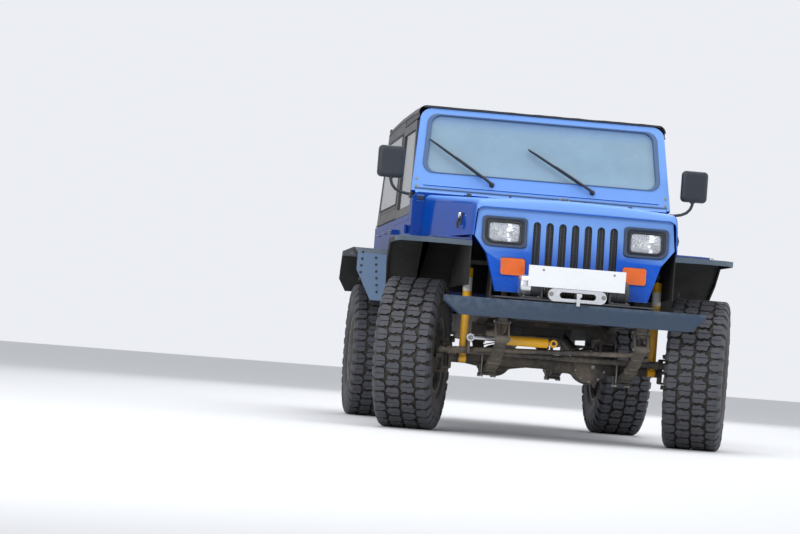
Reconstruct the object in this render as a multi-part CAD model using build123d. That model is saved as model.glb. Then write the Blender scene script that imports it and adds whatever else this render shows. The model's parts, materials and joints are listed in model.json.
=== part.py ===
from build123d import *
import os
from math import atan, cos, degrees, radians, sin, sqrt, tan

# Lifted short-wheelbase off-road 4x4 with a soft top.
# Millimetres. Front is -Y, the vehicle's left is +X, +Z is up, the tyres stand on z = 0.
# Heights are above the floor, and lengths along Y are measured back from the front axle
# unless their name says otherwise. at(y) turns such a length into the model's own Y.

# Wheels and tyres
tread_radius = 415.0
tyre_width = 318.0
tread_width = 276.0
tread_depth = 17.0
lug_count = 18
rim_radius = 196.0
rim_width = 262.0
rim_skin = 7.0
window_count = 8
window_radius = 139.0
hub_radius = 38.0
nut_count = 5
nut_circle = 57.0
nut_radius = 12.0
half_track = 790.0
wheelbase = 2373.0
axle_z = tread_radius * cos(radians(90.0 / lug_count))

# Steering
kingpin_x = 622.0
steer_at_rest = -15.0
hub_end = half_track + rim_width / 2 - 100.0
steer_arm = 140.0
steer_ball_z = axle_z + 32.0
steer_ball_radius = 19.0
tie_rod_radius = 15.0
pitman_x = 424.0
pitman_y = -190.0
pitman_z = 534.0
damper_y = -262.0
damper_z = axle_z + 106.0
damper_radius = 27.0
damper_rod_radius = 9.0
damper_eye_x = -478.0
damper_anchor_x = -60.0

# Overall places
bumper_face = 558.0
fairlead_thickness = 54.0
tub_rear = 3131.0
spare_gap = 34.0
spare_x = 0.0
spare_z = 1148.0
front_end = bumper_face + fairlead_thickness
rear_end = tub_rear + spare_gap + tyre_width
front_axle_y = (front_end - rear_end) / 2

# Tub
tub_half = 766.0
wall = 24.0
floor_z = 690.0
floor_thickness = 16.0
rear_floor_z = 800.0
rear_floor_y = 1880.0
sill_bottom = 666.0
sill_top = 740.0
belt_z = 1226.0
tub_front = 560.0
cowl_y = 872.0
cowl_z = 1352.0
firewall_top_z = 1075.0
door_front = 1006.0
door_rear = 1850.0
well_half_inner = 556.0
well_front = 1912.0
well_rear = 2836.0
well_top = 1022.0
rear_overhang_z = 760.0
gap = 6.0
skin = 6.0

# Windscreen, in its own leaning plane
screen_base_y = 947.0
screen_base_z = 1364.0
screen_top_y = 1115.0
screen_top_z = 1867.0
screen_base_half = 771.0
screen_top_half = 728.0
screen_depth = 42.0
screen_corner = 74.0
glass_half_base = 694.0
glass_half_top = 676.0
glass_low = 122.0
glass_high = 492.0
glass_corner = 62.0
glass_thickness = 8.0
screen_lean = degrees(atan((screen_top_y - screen_base_y) / (screen_top_z - screen_base_z)))
screen_height = sqrt((screen_top_y - screen_base_y) ** 2 + (screen_top_z - screen_base_z) ** 2)

# Hood
hood_front = 374.0
hood_front_half = 561.0
hood_rear_half = 704.0
hood_low_front_z = 1071.0
hood_low_rear_z = 1086.0
hood_front_z = 1261.0
hood_rear_z = 1338.0
hood_crown = 26.0
hood_edge_radius = 34.0
hood_lip_z = 1234.0
hood_hinge_y = cowl_y + 2.0
hood_hinge_z = cowl_z + 10.0

# Grille
grille_y = 372.0
grille_top_y = 346.0
grille_bottom_z = 777.0
grille_break_z = 986.0
grille_top_z = 1226.0
grille_depth = 44.0
grille_half_top = 545.0
grille_half_crown = 530.0
grille_half_break = 475.0
grille_half_bottom = 415.0
slot_count = 7
slot_pitch = 70.0
slot_width = 41.0
slot_top_z = 1165.0
slot_bottom_z = 826.0
slot_steps = 6
lamp_x = 386.0
lamp_z = 1095.0
lens_width = 171.0
lens_height = 105.0
bezel_width = 244.0
bezel_height = 166.0
signal_x = 331.0
signal_z = 914.0
signal_width = 129.0
signal_height = 88.0

# Fenders and flares
fender_top_z = 1050.0
fender_inner = 558.0
flare_inner = 752.0
flare_tip = 940.0
flare_front = 350.0
flare_thickness = 28.0
flare_skin = 6.0
flare_bend_y = 236.0
flare_rear_y = 554.0
flare_rear_z = 706.0
rear_flare_half = 1004.0
rear_flare_top = 1044.0
rear_flare_front = 1860.0
rear_flare_rear = 2890.0
rear_flare_low = 722.0

# Soft top and doors
roof_front_z = 1872.0
roof_high_z = 1900.0
roof_rear_z = 1866.0
roof_rear_y = 2926.0
roof_half = 742.0
roof_edge_radius = 46.0
cloth = 9.0
door_top_z = 1796.0
door_thickness = 44.0
upper_thickness = 22.0
upper_border = 52.0
door_hinge_x = tub_half + 14.0
tailgate_half = 574.0
tailgate_hinge_x = -606.0

# Chassis
rail_x = 375.0
rail_width = 52.0
rail_height = 100.0
skid_z = 534.0
rail_front_z = 690.0
rail_mid_z = 620.0
rail_rear_z = 736.0
rail_rear_end = 3080.0
exhaust_x = -256.0
axle_tube = 34.0
front_diff_x = 182.0
spring_span = 1000.0
spring_arch = 152.0
spring_width = 64.0
shackle_length = 92.0
shackle_seat = 0.6
shackle_plate = 8.0
leaf_thickness = 8.0
leaf_count = 5
leaf_step = 0.18
shock_x = 525.0
shock_radius = 25.0
shock_eye = 23.0
front_shock_y = -66.0
rear_shock_y = wheelbase + 76.0
shock_low_z = 418.0
shock_high_z = 930.0
bumper_half = 702.0
bumper_top_z = 732.0
bumper_height = 97.0
bumper_depth = 84.0
bumper_end_rise = 86.0
plate_width = 520.0
plate_height = 110.0
plate_z = 867.0
winch_half = 300.0
steering_wheel_x = 370.0
steering_wheel_radius = 188.0

# Sides of what is round, and the short runs that make a bend, so that the whole stays light
bar_sides = 8
boss_sides = 12
boss_radius = 40.0
ring_sides = 16
bend_steps = 3


def at(y):
    return front_axle_y + y


def box(x0, x1, y0, y1, z0, z1):
    middle = ((x0 + x1) / 2, at((y0 + y1) / 2), (z0 + z1) / 2)
    return Pos(*middle) * Box(abs(x1 - x0), abs(y1 - y0), abs(z1 - z0))


def along_x(points, x0, x1):
    outline = Polyline(*[(at(y), z) for y, z in points], close=True)
    face = Plane.YZ * make_face(outline)
    return Pos(x0, 0, 0) * extrude(face, amount=x1 - x0)


def along_y(points, y0, y1):
    plane = Plane(origin=(0, at(y1), 0), x_dir=(1, 0, 0), z_dir=(0, -1, 0))
    return extrude(plane * make_face(Polyline(*points, close=True)), amount=y1 - y0)


def along_z(points, z0, z1):
    outline = Polyline(*[(x, at(y)) for x, y in points], close=True)
    return Pos(0, 0, z0) * extrude(make_face(outline), amount=z1 - z0)


def rod(start, end, radius):
    # A round bar, with more sides where it is thick.
    a = Vector(start[0], at(start[1]), start[2])
    b = Vector(end[0], at(end[1]), end[2])
    sides = boss_sides if radius > boss_radius else bar_sides
    return extrude(Plane(origin=a, z_dir=b - a) * RegularPolygon(radius, sides), amount=(b - a).length)


def pin(start, end, radius):
    # A true cylinder, for what turns about its own line.
    a = Vector(start[0], at(start[1]), start[2])
    b = Vector(end[0], at(end[1]), end[2])
    return extrude(Plane(origin=a, z_dir=b - a) * Circle(radius), amount=(b - a).length)


def bent_line(points, bend):
    # The points of a bar's middle line, each corner taken round a bend in short steps.
    spots = [Vector(x, at(y), z) for x, y, z in points]
    line = [spots[0]]
    for before, corner, after in zip(spots, spots[1:], spots[2:]):
        a = (before - corner).normalized()
        b = (after - corner).normalized()
        half = radians(a.get_angle(b) / 2)
        centre = corner + (a + b).normalized() * (bend / sin(half))
        first = corner + a * (bend / tan(half)) - centre
        last = corner + b * (bend / tan(half)) - centre
        sweep_angle = radians(180) - 2 * half
        for i in range(bend_steps + 1):
            share = i / bend_steps
            start_part = first * (sin((1 - share) * sweep_angle) / sin(sweep_angle))
            line.append(centre + start_part + last * (sin(share * sweep_angle) / sin(sweep_angle)))
    return line + [spots[-1]]


def pipe(points, radius, bend, hollow=0.0):
    path = Polyline(*bent_line(points, bend))
    plane = Plane(origin=path @ 0, z_dir=path % 0)
    section = plane * RegularPolygon(radius, bar_sides)
    if hollow:
        section -= plane * RegularPolygon(radius - hollow, bar_sides)
    return sweep(section, path=path, transition=Transition.RIGHT)


def round_points(outline, turn):
    return [(x, r * sin(radians(turn)), r * cos(radians(turn))) for x, r in outline]


def walls(here, there):
    # The flat faces between two loops of the same number of points.
    faces = []
    for k in range(len(here)):
        m = (k + 1) % len(here)
        faces.append(make_face(Polyline(here[k], here[m], there[m], there[k], close=True)))
    return faces


def ring(outline, sides):
    # A ring about the X axis with flat facets. The outline is closed, in places along X and radii.
    loops = [round_points(outline, 360 * i / sides) for i in range(sides)]
    faces = []
    for here, there in zip(loops, loops[1:] + loops[:1]):
        faces += walls(here, there)
    return Solid(Shell(faces))


def sector(outline, start, end):
    # The same outline carried round from one angle to the next.
    here = round_points(outline, start)
    there = round_points(outline, end)
    ends = [make_face(Polyline(*loop, close=True)) for loop in (here, there)]
    return Solid(Shell(walls(here, there) + ends))


def lump(centre, direction, profile):
    # A turned casting with flat sides, from places along the direction and the radii there.
    step = radians(360 / boss_sides)
    loops = []
    for along, r in profile:
        loops.append([(r * cos(i * step), r * sin(i * step), along) for i in range(boss_sides)])
    faces = [make_face(Polyline(*loop, close=True)) for loop in (loops[0], loops[-1])]
    for here, there in zip(loops, loops[1:]):
        faces += walls(here, there)
    plane = Plane(origin=(centre[0], at(centre[1]), centre[2]), z_dir=direction)
    return plane * Solid(Shell(faces))


def ball(x, y, z, r):
    return lump((x, y, z), (0, 0, 1), [(-0.9 * r, 0.45 * r), (-0.4 * r, r), (0.4 * r, r), (0.9 * r, 0.45 * r)])


def other_side(shape):
    return mirror(shape, about=Plane.YZ)


def both_sides(shape):
    return shape + other_side(shape)


def tyre():
    # Axis along X through the origin. Mirrored side walls, then two rows of lugs, half a pitch apart.
    h = tyre_width / 2
    base = tread_radius - tread_depth
    side = [(rim_width / 2 - 2, rim_radius), (h, rim_radius + 104), (tread_width / 2 - 4, base)]
    outline = side + [(-x, r) for x, r in reversed(side)]
    body = ring(outline, 2 * lug_count)
    # One lug, across the tread from the middle, over the shoulder and down to the side wall
    lug = [(9, tread_radius), (tread_width / 2 - 8, tread_radius), (h - 4, base - 34), (9, base - 34)]
    mirrored = [(-x, r) for x, r in lug]
    facet = 180 / lug_count
    lugs = []
    for i in range(lug_count):
        lugs.append(sector(lug, 2 * i * facet, (2 * i + 1) * facet))
        lugs.append(sector(mirrored, (2 * i + 1) * facet, (2 * i + 2) * facet))
    body = body.fuse(*lugs)
    return Rot(X=facet / 2) * body


def rim(outward):
    # Steel wheel: barrel with a dropped centre, a dished disc with eight windows, hub and nuts.
    w = rim_width / 2
    r = rim_radius
    t = rim_skin
    barrel = [
        (-w, r - 1),
        (-w + 34, r - 27),
        (w - 50, r - 27),
        (w, r - 1),
        (w, r - 1 - t),
        (w - 48, r - 27 - t),
        (-w + 32, r - 27 - t),
        (-w, r - 1 - t),
    ]
    wheel = ring(barrel, ring_sides)
    disc = [(w - 62, r - 31), (w - 40, 118), (w - 54, 30), (w - 63, 30), (w - 50, 116), (w - 72, r - 31)]
    wheel += ring(disc, ring_sides)
    for i in range(window_count):
        wheel -= Rot(X=(i + 0.5) * 360 / window_count) * Pos(w / 2, 0, window_radius) * Box(w, 44, 24)
    wheel += Pos(w - 98, 0, 0) * (Plane.YZ * extrude(RegularPolygon(hub_radius, boss_sides), amount=76))
    for i in range(nut_count):
        nut = Plane.YZ * extrude(RegularPolygon(nut_radius, 6), amount=24)
        wheel += Rot(X=i * 360 / nut_count) * Pos(w - 64, 0, nut_circle) * nut
    if outward < 0:
        wheel = other_side(wheel)
    return wheel


def steered(shape, side):
    # Turns a shape drawn with the wheels straight ahead about its kingpin.
    pin = (side * kingpin_x, at(0), 0)
    return Pos(*pin) * Rot(Z=steer_at_rest) * Pos(-pin[0], -pin[1], 0) * shape


def placed_wheel(shape, side, y):
    return Pos(side * half_track, at(y), axle_z) * shape


def arm_swing():
    # How far the steering arms' ends stand from their straight-ahead place.
    turn = radians(steer_at_rest)
    return Vector(steer_arm * sin(turn), steer_arm * (1 - cos(turn)), 0)


def knuckle(side):
    # Forging about the ball joints, hub, brake disc with caliper, and the steering arm.
    s = side
    k = kingpin_x
    part = pin((s * k, 0, axle_z - 96), (s * k, 0, axle_z - 72), 24)
    part += pin((s * k, 0, axle_z + 72), (s * k, 0, axle_z + 96), 22)
    part += box(s * (k + 30), s * (k + 50), -44, 44, axle_z - 96, axle_z + 96)
    part += box(s * (k - 24), s * (k + 40), -24, 24, axle_z - 96, axle_z - 80)
    part += box(s * (k - 24), s * (k + 40), -24, 24, axle_z + 80, axle_z + 96)
    part += rod((s * (k + 40), 0, axle_z), (s * (k + 70), 0, axle_z), 52)
    part += pin((s * (k + 60), 0, axle_z), (s * hub_end, 0, axle_z), 34)
    part += rod((s * (k + 56), 0, axle_z), (s * (k + 68), 0, axle_z), 138)
    part += box(s * (k + 40), s * (k + 86), 78, 136, axle_z - 50, axle_z + 50)
    arm = [
        (s * (k + 50), -30),
        (s * (k + 26), -40),
        (s * (k - 14), -steer_arm - 10),
        (s * (k + 16), -steer_arm - 10),
        (s * (k + 50), -44),
    ]
    part += along_z(arm, steer_ball_z - 46, steer_ball_z - 26)
    return steered(part, side)


def tie_rod():
    # Tie rod with its ball ends, drag link and the damper's pin, all as one sliding link.
    z = steer_ball_z
    y = -steer_arm
    ends = both_sides(ball(kingpin_x, y, z, steer_ball_radius))
    ends += both_sides(pin((kingpin_x, y, z - 24), (kingpin_x, y, z), 9))
    link = ends + rod((-kingpin_x, y, z), (kingpin_x, y, z), tie_rod_radius)
    link += both_sides(rod((kingpin_x - 96, y, z), (kingpin_x - 34, y, z), tie_rod_radius + 6))
    drag_start = (pitman_x, pitman_y - steer_arm, pitman_z - 44)
    drag_end = (-kingpin_x + 74, y - 6, z + 8)
    link += rod(drag_start, drag_end, tie_rod_radius - 1)
    link += ball(*drag_start, steer_ball_radius)
    link += box(damper_eye_x - 7, damper_eye_x + 7, damper_y + 26, y, z - 10, damper_z + 20)
    link += rod((damper_eye_x, damper_y - 44, damper_z), (damper_eye_x, damper_y + 30, damper_z), 7)
    link += rod((damper_eye_x, damper_y - 50, damper_z), (damper_eye_x, damper_y - 38, damper_z), 13)
    swing = arm_swing()
    return Pos(swing.X, swing.Y, 0) * link


def pitman_arm():
    shape = pin((pitman_x, pitman_y, pitman_z - 18), (pitman_x, pitman_y, pitman_z + 46), 17)
    shape += rod((pitman_x, pitman_y, pitman_z - 16), (pitman_x, pitman_y, pitman_z + 16), 28)
    reach = [
        (pitman_x - 24, pitman_y),
        (pitman_x - 15, pitman_y - steer_arm - 14),
        (pitman_x + 15, pitman_y - steer_arm - 14),
        (pitman_x + 24, pitman_y),
    ]
    shape += along_z(reach, pitman_z - 14, pitman_z + 6)
    pivot = (pitman_x, at(pitman_y), 0)
    return Pos(*pivot) * Rot(Z=steer_at_rest) * Pos(-pivot[0], -pivot[1], 0) * shape


def damper_rod():
    # Slides with the tie rod. Its eye stands round the pin with room for the small sideways drift.
    eye_y = damper_y
    eye = rod((damper_eye_x, eye_y - 15, damper_z), (damper_eye_x, eye_y + 15, damper_z), 22)
    eye -= rod((damper_eye_x, eye_y - 16, damper_z), (damper_eye_x, eye_y + 16, damper_z), 12)
    bar = rod((damper_eye_x + 20, eye_y, damper_z), (damper_anchor_x - 192, eye_y, damper_z), damper_rod_radius)
    return Pos(arm_swing().X, 0, 0) * (eye + bar)


def rail_outline():
    h = rail_height / 2
    line = [
        (-bumper_face + bumper_depth, rail_front_z),
        (300, rail_front_z),
        (640, rail_mid_z),
        (1900, rail_mid_z),
        (2150, rail_rear_z),
        (rail_rear_end, rail_rear_z),
    ]
    return [(y, z + h) for y, z in line] + [(y, z - h) for y, z in reversed(line)]


def frame():
    # Two boxed rails, each with its spring hangers, shackle pins, shock tower and skid legs.
    w = rail_width / 2
    rail = along_x(rail_outline(), rail_x - w, rail_x + w)
    inner = rail_x - w
    rail += box(inner, inner + 12, 915, 1105, skid_z - 14, rail_mid_z - 30)
    # Spring hangers: the fixed eye's place with the rail's bottom there, then the shackle's
    eye_z = axle_z - axle_tube - 10 + spring_arch
    half_leaf = spring_width / 2
    for y, top in ((spring_span / 2, rail_mid_z - 4), (wheelbase - spring_span / 2, rail_mid_z - 46)):
        rail += box(rail_x - half_leaf - 8, rail_x - half_leaf - 2, y - 32, y + 32, eye_z - 18, top)
        rail += box(rail_x + half_leaf + 2, rail_x + half_leaf + 8, y - 32, y + 32, eye_z - 18, top)
        rail += box(rail_x - half_leaf - 8, rail_x + half_leaf + 8, y - 32, y + 32, eye_z + 28, top)
    half_pin = half_leaf - shackle_seat
    for y, top in ((40 - spring_span / 2, rail_front_z), (wheelbase + spring_span / 2 - 40, rail_rear_z)):
        pin_z = eye_z + shackle_length
        rail += rod((rail_x - half_pin, y, pin_z), (rail_x + half_pin, y, pin_z), 16)
        rail += box(rail_x - w, rail_x + w, y - 14, y + 14, pin_z + 6, top - rail_height / 2 + 4)
    tower = [(-120, rail_front_z - 20), (-92, shock_high_z + 18), (-4, shock_high_z + 18), (30, rail_front_z - 20)]
    rail += along_x(tower, rail_x + w - 2, rail_x + w + 8)
    rail += box(rail_x + w, shock_x + 10, -80, -50, shock_high_z - 8, shock_high_z + 14)
    rail += box(rail_x + w - 2, shock_x - 30, wheelbase + 60, wheelbase + 90, 772, 784)
    return both_sides(rail)


def crossmembers():
    # Members between the rails, the skid plate, and the steering box on the left rail's outer face.
    inner = rail_x - rail_width / 2
    # Place back from the front axle, length, bottom and top
    members = [
        (-430, 60, rail_front_z - 40, rail_front_z + 40),
        (434, 60, rail_mid_z - 6, rail_mid_z + 18),
        (1010, 190, skid_z - 14, skid_z),
        (1760, 70, rail_mid_z + 4, rail_mid_z + 40),
        (2480, 60, rail_rear_z - 34, rail_rear_z + 34),
        (3040, 60, rail_rear_z - 44, rail_rear_z + 44),
    ]
    parts = []
    for y, length, low, high in members:
        parts.append(box(-inner, inner, y - length / 2, y + length / 2, low, high))
    outer = rail_x + rail_width / 2
    parts.append(box(outer, pitman_x + 34, pitman_y - 62, pitman_y + 70, pitman_z + 52, pitman_z + 176))
    return Compound(parts)


def axles():
    # Front and rear axle tubes with their differentials, and the two driveshafts.
    end = kingpin_x - 30
    parts = rod((-end, 0, axle_z), (end, 0, axle_z), axle_tube)
    parts += both_sides(box(end - 14, end + 4, -34, 34, axle_z - 70, axle_z + 70))
    parts += both_sides(pin((kingpin_x, 0, axle_z - 70), (kingpin_x, 0, axle_z - 58), 24))
    parts += both_sides(pin((kingpin_x, 0, axle_z + 58), (kingpin_x, 0, axle_z + 70), 22))
    parts += both_sides(box(end, kingpin_x - 4, -24, 24, axle_z - 70, axle_z - 58))
    parts += both_sides(box(end, kingpin_x - 4, -24, 24, axle_z + 58, axle_z + 70))
    parts += lump((front_diff_x, 6, axle_z), (0, 1, 0), [(-96, 66), (-58, 96), (40, 100), (96, 56)])
    parts += rod((front_diff_x, -92, axle_z), (front_diff_x, -60, axle_z), 92)
    parts += rod((front_diff_x, 60, axle_z + 14), (front_diff_x, 190, axle_z + 40), 46)
    rear_end_x = half_track - 118
    parts += rod((-rear_end_x, wheelbase, axle_z), (rear_end_x, wheelbase, axle_z), axle_tube)
    parts += both_sides(rod((rear_end_x - 26, wheelbase, axle_z), (rear_end_x + 36, wheelbase, axle_z), 132))
    parts += lump((0, wheelbase, axle_z), (0, 1, 0), [(-104, 62), (-46, 108), (62, 108), (100, 84)])
    parts += rod((0, wheelbase + 84, axle_z), (0, wheelbase + 108, axle_z), 100)
    parts += rod((0, wheelbase - 190, axle_z + 30), (0, wheelbase - 60, axle_z + 10), 44)
    parts += rod((front_diff_x, 178, axle_z + 38), (front_diff_x, 872, axle_z + 150), 27)
    parts += both_sides(box(shock_x - 22, shock_x + 22, front_shock_y + shock_eye, -20, axle_z - 20, axle_z + 20))
    parts += both_sides(box(shock_x - 82, shock_x - 38, wheelbase + 20, rear_shock_y - shock_eye, axle_z - 42, axle_z - 10))
    arm = [(-20, axle_z + 16), (-20, damper_z + 25), (damper_y - 14, damper_z + 14), (damper_y - 14, damper_z - 14),
           (-60, damper_z - 20), (-34, axle_z + 16)]
    parts += along_x(arm, damper_anchor_x + 22.5, damper_anchor_x + 34)
    parts += rod((0, wheelbase - 178, axle_z + 29), (0, 1187, axle_z + 180), 33)
    parts += both_sides(pin((rear_end_x, wheelbase, axle_z), (hub_end, wheelbase, axle_z), 34))
    return parts


def leaf_outline(y, low):
    # Side view of one pack, its leaves stepped shorter from the top one down.
    span = spring_span / 2
    shares = [1 - leaf_step * i for i in range(leaf_count)]

    def on_leaf(share, leaf):
        return (at(y) + share * span, low + spring_arch * share * share - leaf * leaf_thickness)

    outline = [on_leaf(-share, 0) for share in shares] + [on_leaf(0, 0)]
    outline += [on_leaf(share, 0) for share in reversed(shares)]
    for i in range(leaf_count):
        outline.append(on_leaf(shares[i], i + 1))
        if i + 1 < leaf_count:
            outline.append(on_leaf(shares[i + 1], i + 1))
    outline.append(on_leaf(0, leaf_count))
    for i in reversed(range(leaf_count)):
        if i + 1 < leaf_count:
            outline.append(on_leaf(-shares[i + 1], i + 1))
        outline.append(on_leaf(-shares[i], i + 1))
    return outline


def leaf_springs():
    # Four packs: arched leaves, each shorter than the one above, with eyes and U-bolt plates.
    rise = spring_arch
    span = spring_span / 2
    low = axle_z - axle_tube - 6
    packs = []
    for y in (0.0, wheelbase):
        for side in (1, -1):
            outline = leaf_outline(y, low)
            face = Plane.YZ * make_face(Polyline(*outline, close=True))
            pack = Pos(side * rail_x - spring_width / 2, 0, 0) * extrude(face, amount=spring_width)
            x0 = side * rail_x - spring_width / 2
            for end in (-1, 1):
                eye = (y + end * span, low + rise - 4)
                pack += rod((x0, eye[0], eye[1]), (x0 + spring_width, eye[0], eye[1]), 21)
            pack += box(x0 - 12, x0 + spring_width + 12, y - 62, y + 62, low - 52, low - 38)
            for end in (-1, 1):
                for wide in (-1, 1):
                    bolt_x = side * rail_x + wide * (spring_width / 2 + 4)
                    bolt_y = y + end * (axle_tube + 7)
                    pack += rod((bolt_x, bolt_y, low - 60), (bolt_x, bolt_y, axle_z + axle_tube + 10), 6)
            front = -1 if y == 0 else 1
            shackle_y = y + front * span
            for wide in (-1, 1):
                plate_x = side * rail_x + wide * (spring_width / 2 + shackle_plate / 2 - shackle_seat)
                low_eye = (plate_x, shackle_y, low + rise - 4)
                high_eye = (plate_x, shackle_y - front * 40, low + rise - 4 + shackle_length)
                pack += along_x(
                    [
                        (low_eye[1] - 18, low_eye[2] - 16),
                        (low_eye[1] + 18, low_eye[2] - 16),
                        (high_eye[1] + 18, high_eye[2] + 16),
                        (high_eye[1] - 18, high_eye[2] + 16),
                    ],
                    plate_x - shackle_plate / 2,
                    plate_x + shackle_plate / 2,
                )
            packs.append(pack)
    return Compound(packs)


def shock_absorbers():
    # Four telescopic shocks and the steering damper's body, all in the same yellow.
    parts = []
    places = [(shock_x, front_shock_y, shock_low_z, shock_high_z - 10), (shock_x - 60, rear_shock_y, 400, 770)]
    for x, y, low, high in places:
        for side in (1, -1):
            one = rod((side * x, y, low), (side * x, y, low + (high - low) * 0.62), shock_radius - 3)
            one += rod((side * x, y, low + (high - low) * 0.55), (side * x, y, high - 20), shock_radius)
            one += rod((side * x, y, high - 24), (side * x, y, high), 9)
            one += rod((side * x - 20, y, low - 14), (side * x + 20, y, low - 14), shock_eye)
            parts.append(one)
    start = damper_anchor_x - 282
    body = rod((start, damper_y, damper_z), (damper_anchor_x - 26, damper_y, damper_z), damper_radius)
    body -= rod((start - 1, damper_y, damper_z), (start + 170, damper_y, damper_z), damper_rod_radius + 3)
    body += rod((damper_anchor_x, damper_y - 15, damper_z), (damper_anchor_x, damper_y + 15, damper_z), 22)
    body += box(damper_anchor_x - 30, damper_anchor_x, damper_y - 8, damper_y + 8, damper_z - 8, damper_z + 8)
    parts.append(body)
    return Compound(parts)


def engine():
    # Closed masses at their real places: engine, gearbox with transfer case, and the radiator ahead.
    parts = [box(-230, 210, -60, 520, 640, 1080)]
    transfer = box(-120, 120, 524, 1180, 560, 676) + box(100, 232, 880, 1100, 540, 650)
    parts.append(transfer)
    parts.append(box(-330, 330, -292, -236, 800, 1190))
    return Compound(parts)


def exhaust():
    x = exhaust_x
    route = [(x, 330, 800), (x, 330, 580), (x, 560, 570), (x, 1900, 570), (x, 2150, 622), (x, 2640, 622), (x, 3090, 580)]
    part = pipe(route, 26, 90, 3)
    return part + rod((x, 1220, 570), (x, 1560, 570), 50)


def fuel_tank():
    outline = [(2600, 560), (2640, 540), (2960, 540), (3000, 560), (3000, 676), (2600, 676)]
    return along_x(outline, exhaust_x + 56, rail_x - 60)


def front_bumper():
    # Straight steel channel, open at the back, its lower corners cut up at the ends.
    h = bumper_half
    top = bumper_top_z
    low = bumper_top_z - bumper_height
    face = [(-h, top), (h, top), (h, top - 30), (h - bumper_end_rise, low), (-h + bumper_end_rise, low), (-h, top - 30)]
    part = along_y(face, -bumper_face, -bumper_face + bumper_depth)
    hollow = [(x * (h - 5) / h, min(max(z, low + 5), top - 5)) for x, z in face]
    part -= along_y(hollow, -bumper_face + 5, -bumper_face + bumper_depth + 1)
    for x in (-rail_x, rail_x):
        part += box(x - 22, x + 22, -bumper_face + 4, -bumper_face + bumper_depth - 2, top - 80, top - 8)
    return part


def rear_bumper():
    part = box(-690, 690, tub_rear - 2, tub_rear + 96, 616, 696)
    part -= box(-685, 685, tub_rear - 3, tub_rear + 91, 621, 691)
    for x in (-rail_x, rail_x):
        part += box(x - 26, x + 26, rail_rear_end, tub_rear + 92, 622, 690)
        part += box(x - 26, x + 26, rail_rear_end, rail_rear_end + 12, 622, 780)
    return part


def winch():
    # Winch plate on the bumper and rails, drum between two end housings, motor across the top.
    z = bumper_top_z + 8
    part = box(-438, 438, -540, -320, z, z + 8)
    part += box(-winch_half, -winch_half + 130, -522, -392, z + 8, z + 138)
    part += box(winch_half - 130, winch_half, -522, -392, z + 8, z + 138)
    part += rod((-winch_half + 120, -456, z + 74), (winch_half - 120, -456, z + 74), 46)
    part += box(-winch_half + 120, winch_half - 120, -420, -404, z + 116, z + 128)
    part += both_sides(box(176, 190, -bumper_face + 8, -506, z, z + 60))
    return part


def fairlead():
    # Hawse fairlead: plate with a rounded mouth, and the cable hook parked in it.
    z = bumper_top_z + 44
    y = -bumper_face - 14
    half = SlotOverall(313, 68)
    mouth = SlotOverall(196, 34)
    plane = Plane(origin=(0, at(-bumper_face + 8), z), x_dir=(1, 0, 0), z_dir=(0, -1, 0))
    part = extrude(plane * half, amount=22) - extrude(plane * mouth, amount=60)
    ring = extrude(plane * (SlotOverall(222, 58) - mouth), amount=34)
    part += ring
    part += rod((0, y + 22, z), (0, y - 20, z), 9)
    part += rod((0, -front_end + 14, z + 3), (0, -front_end + 14, z - 40), 8)
    part += rod((-10, -front_end + 14, z + 3), (18, -front_end + 14, z + 3), 10)
    part += box(-9, 9, -front_end, -front_end + 26, z - 52, z + 4)
    return part


def number_plate():
    part = box(-8 - plate_width / 2, -8 + plate_width / 2, -bumper_face - 12, -bumper_face - 8,
               plate_z - plate_height / 2, plate_z + plate_height / 2)
    part += box(-30, 14, -bumper_face - 8, -524, plate_z - 40, plate_z - 20)
    return part


def slot_plate(length, width):
    # A long slot with round ends, each end in a few short runs.
    r = width / 2
    ends = []
    for i in range(slot_steps + 1):
        turn = radians(180 * i / slot_steps)
        ends.append((length / 2 - r + r * sin(turn), r * cos(turn)))
    return make_face(Polyline(*ends, *[(-x, -z) for x, z in ends], close=True))


def grille():
    # Pressed panel: upright below the break line and leaning back above it, with slots across both.
    side = [(-grille_y, grille_bottom_z), (-grille_y, grille_break_z), (-grille_top_y, grille_top_z)]
    back = [(y + grille_depth, z) for y, z in reversed(side)]
    inner = [(-grille_y + 4, grille_bottom_z - 1), (-grille_y + 4, grille_break_z), (-grille_top_y + 4, grille_top_z - 5)]
    inner_back = [(y + grille_depth, z) for y, z in reversed(inner)]
    half = [
        (grille_half_bottom, grille_bottom_z),
        (grille_half_break, grille_break_z - 10),
        (grille_half_top, grille_break_z + 80),
        (grille_half_crown, grille_top_z),
    ]
    front = half + [(-x, z) for x, z in reversed(half)]
    inset = [(x - 4, min(z, grille_top_z - 4)) for x, z in half]
    inset[0] = (inset[0][0], grille_bottom_z - 1)
    inset_front = inset + [(-x, z) for x, z in reversed(inset)]
    reach = 20
    part = along_x(side + back, -600, 600) & along_y(front, -grille_y - reach, -grille_top_y + grille_depth + reach)
    hollow = along_x(inner + inner_back, -600, 600)
    hollow &= along_y(inset_front, -grille_y - reach, -grille_top_y + grille_depth + reach)
    part -= hollow
    length = slot_top_z - slot_bottom_z
    middle = (slot_top_z + slot_bottom_z) / 2
    plane = Plane(origin=(0, at(-grille_y + 40), middle), x_dir=(0, 0, 1), z_dir=(0, -1, 0))
    for i in range(slot_count):
        x = (i - (slot_count - 1) / 2) * slot_pitch
        part -= Pos(x, 0, 0) * extrude(plane * slot_plate(length, slot_width), amount=90)
    lamp_plane = Plane(origin=(0, at(-grille_y + 40), lamp_z), x_dir=(1, 0, 0), z_dir=(0, -1, 0))
    opening = extrude(lamp_plane * Rectangle(lens_width + 4, lens_height + 4), amount=90)
    part -= Pos(lamp_x, 0, 0) * opening
    part -= Pos(-lamp_x, 0, 0) * opening
    return part


def face_y(z):
    # The grille's front face at a height above its break line.
    share = (z - grille_break_z) / (grille_top_z - grille_break_z)
    return -grille_y + share * (grille_y - grille_top_y)


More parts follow.
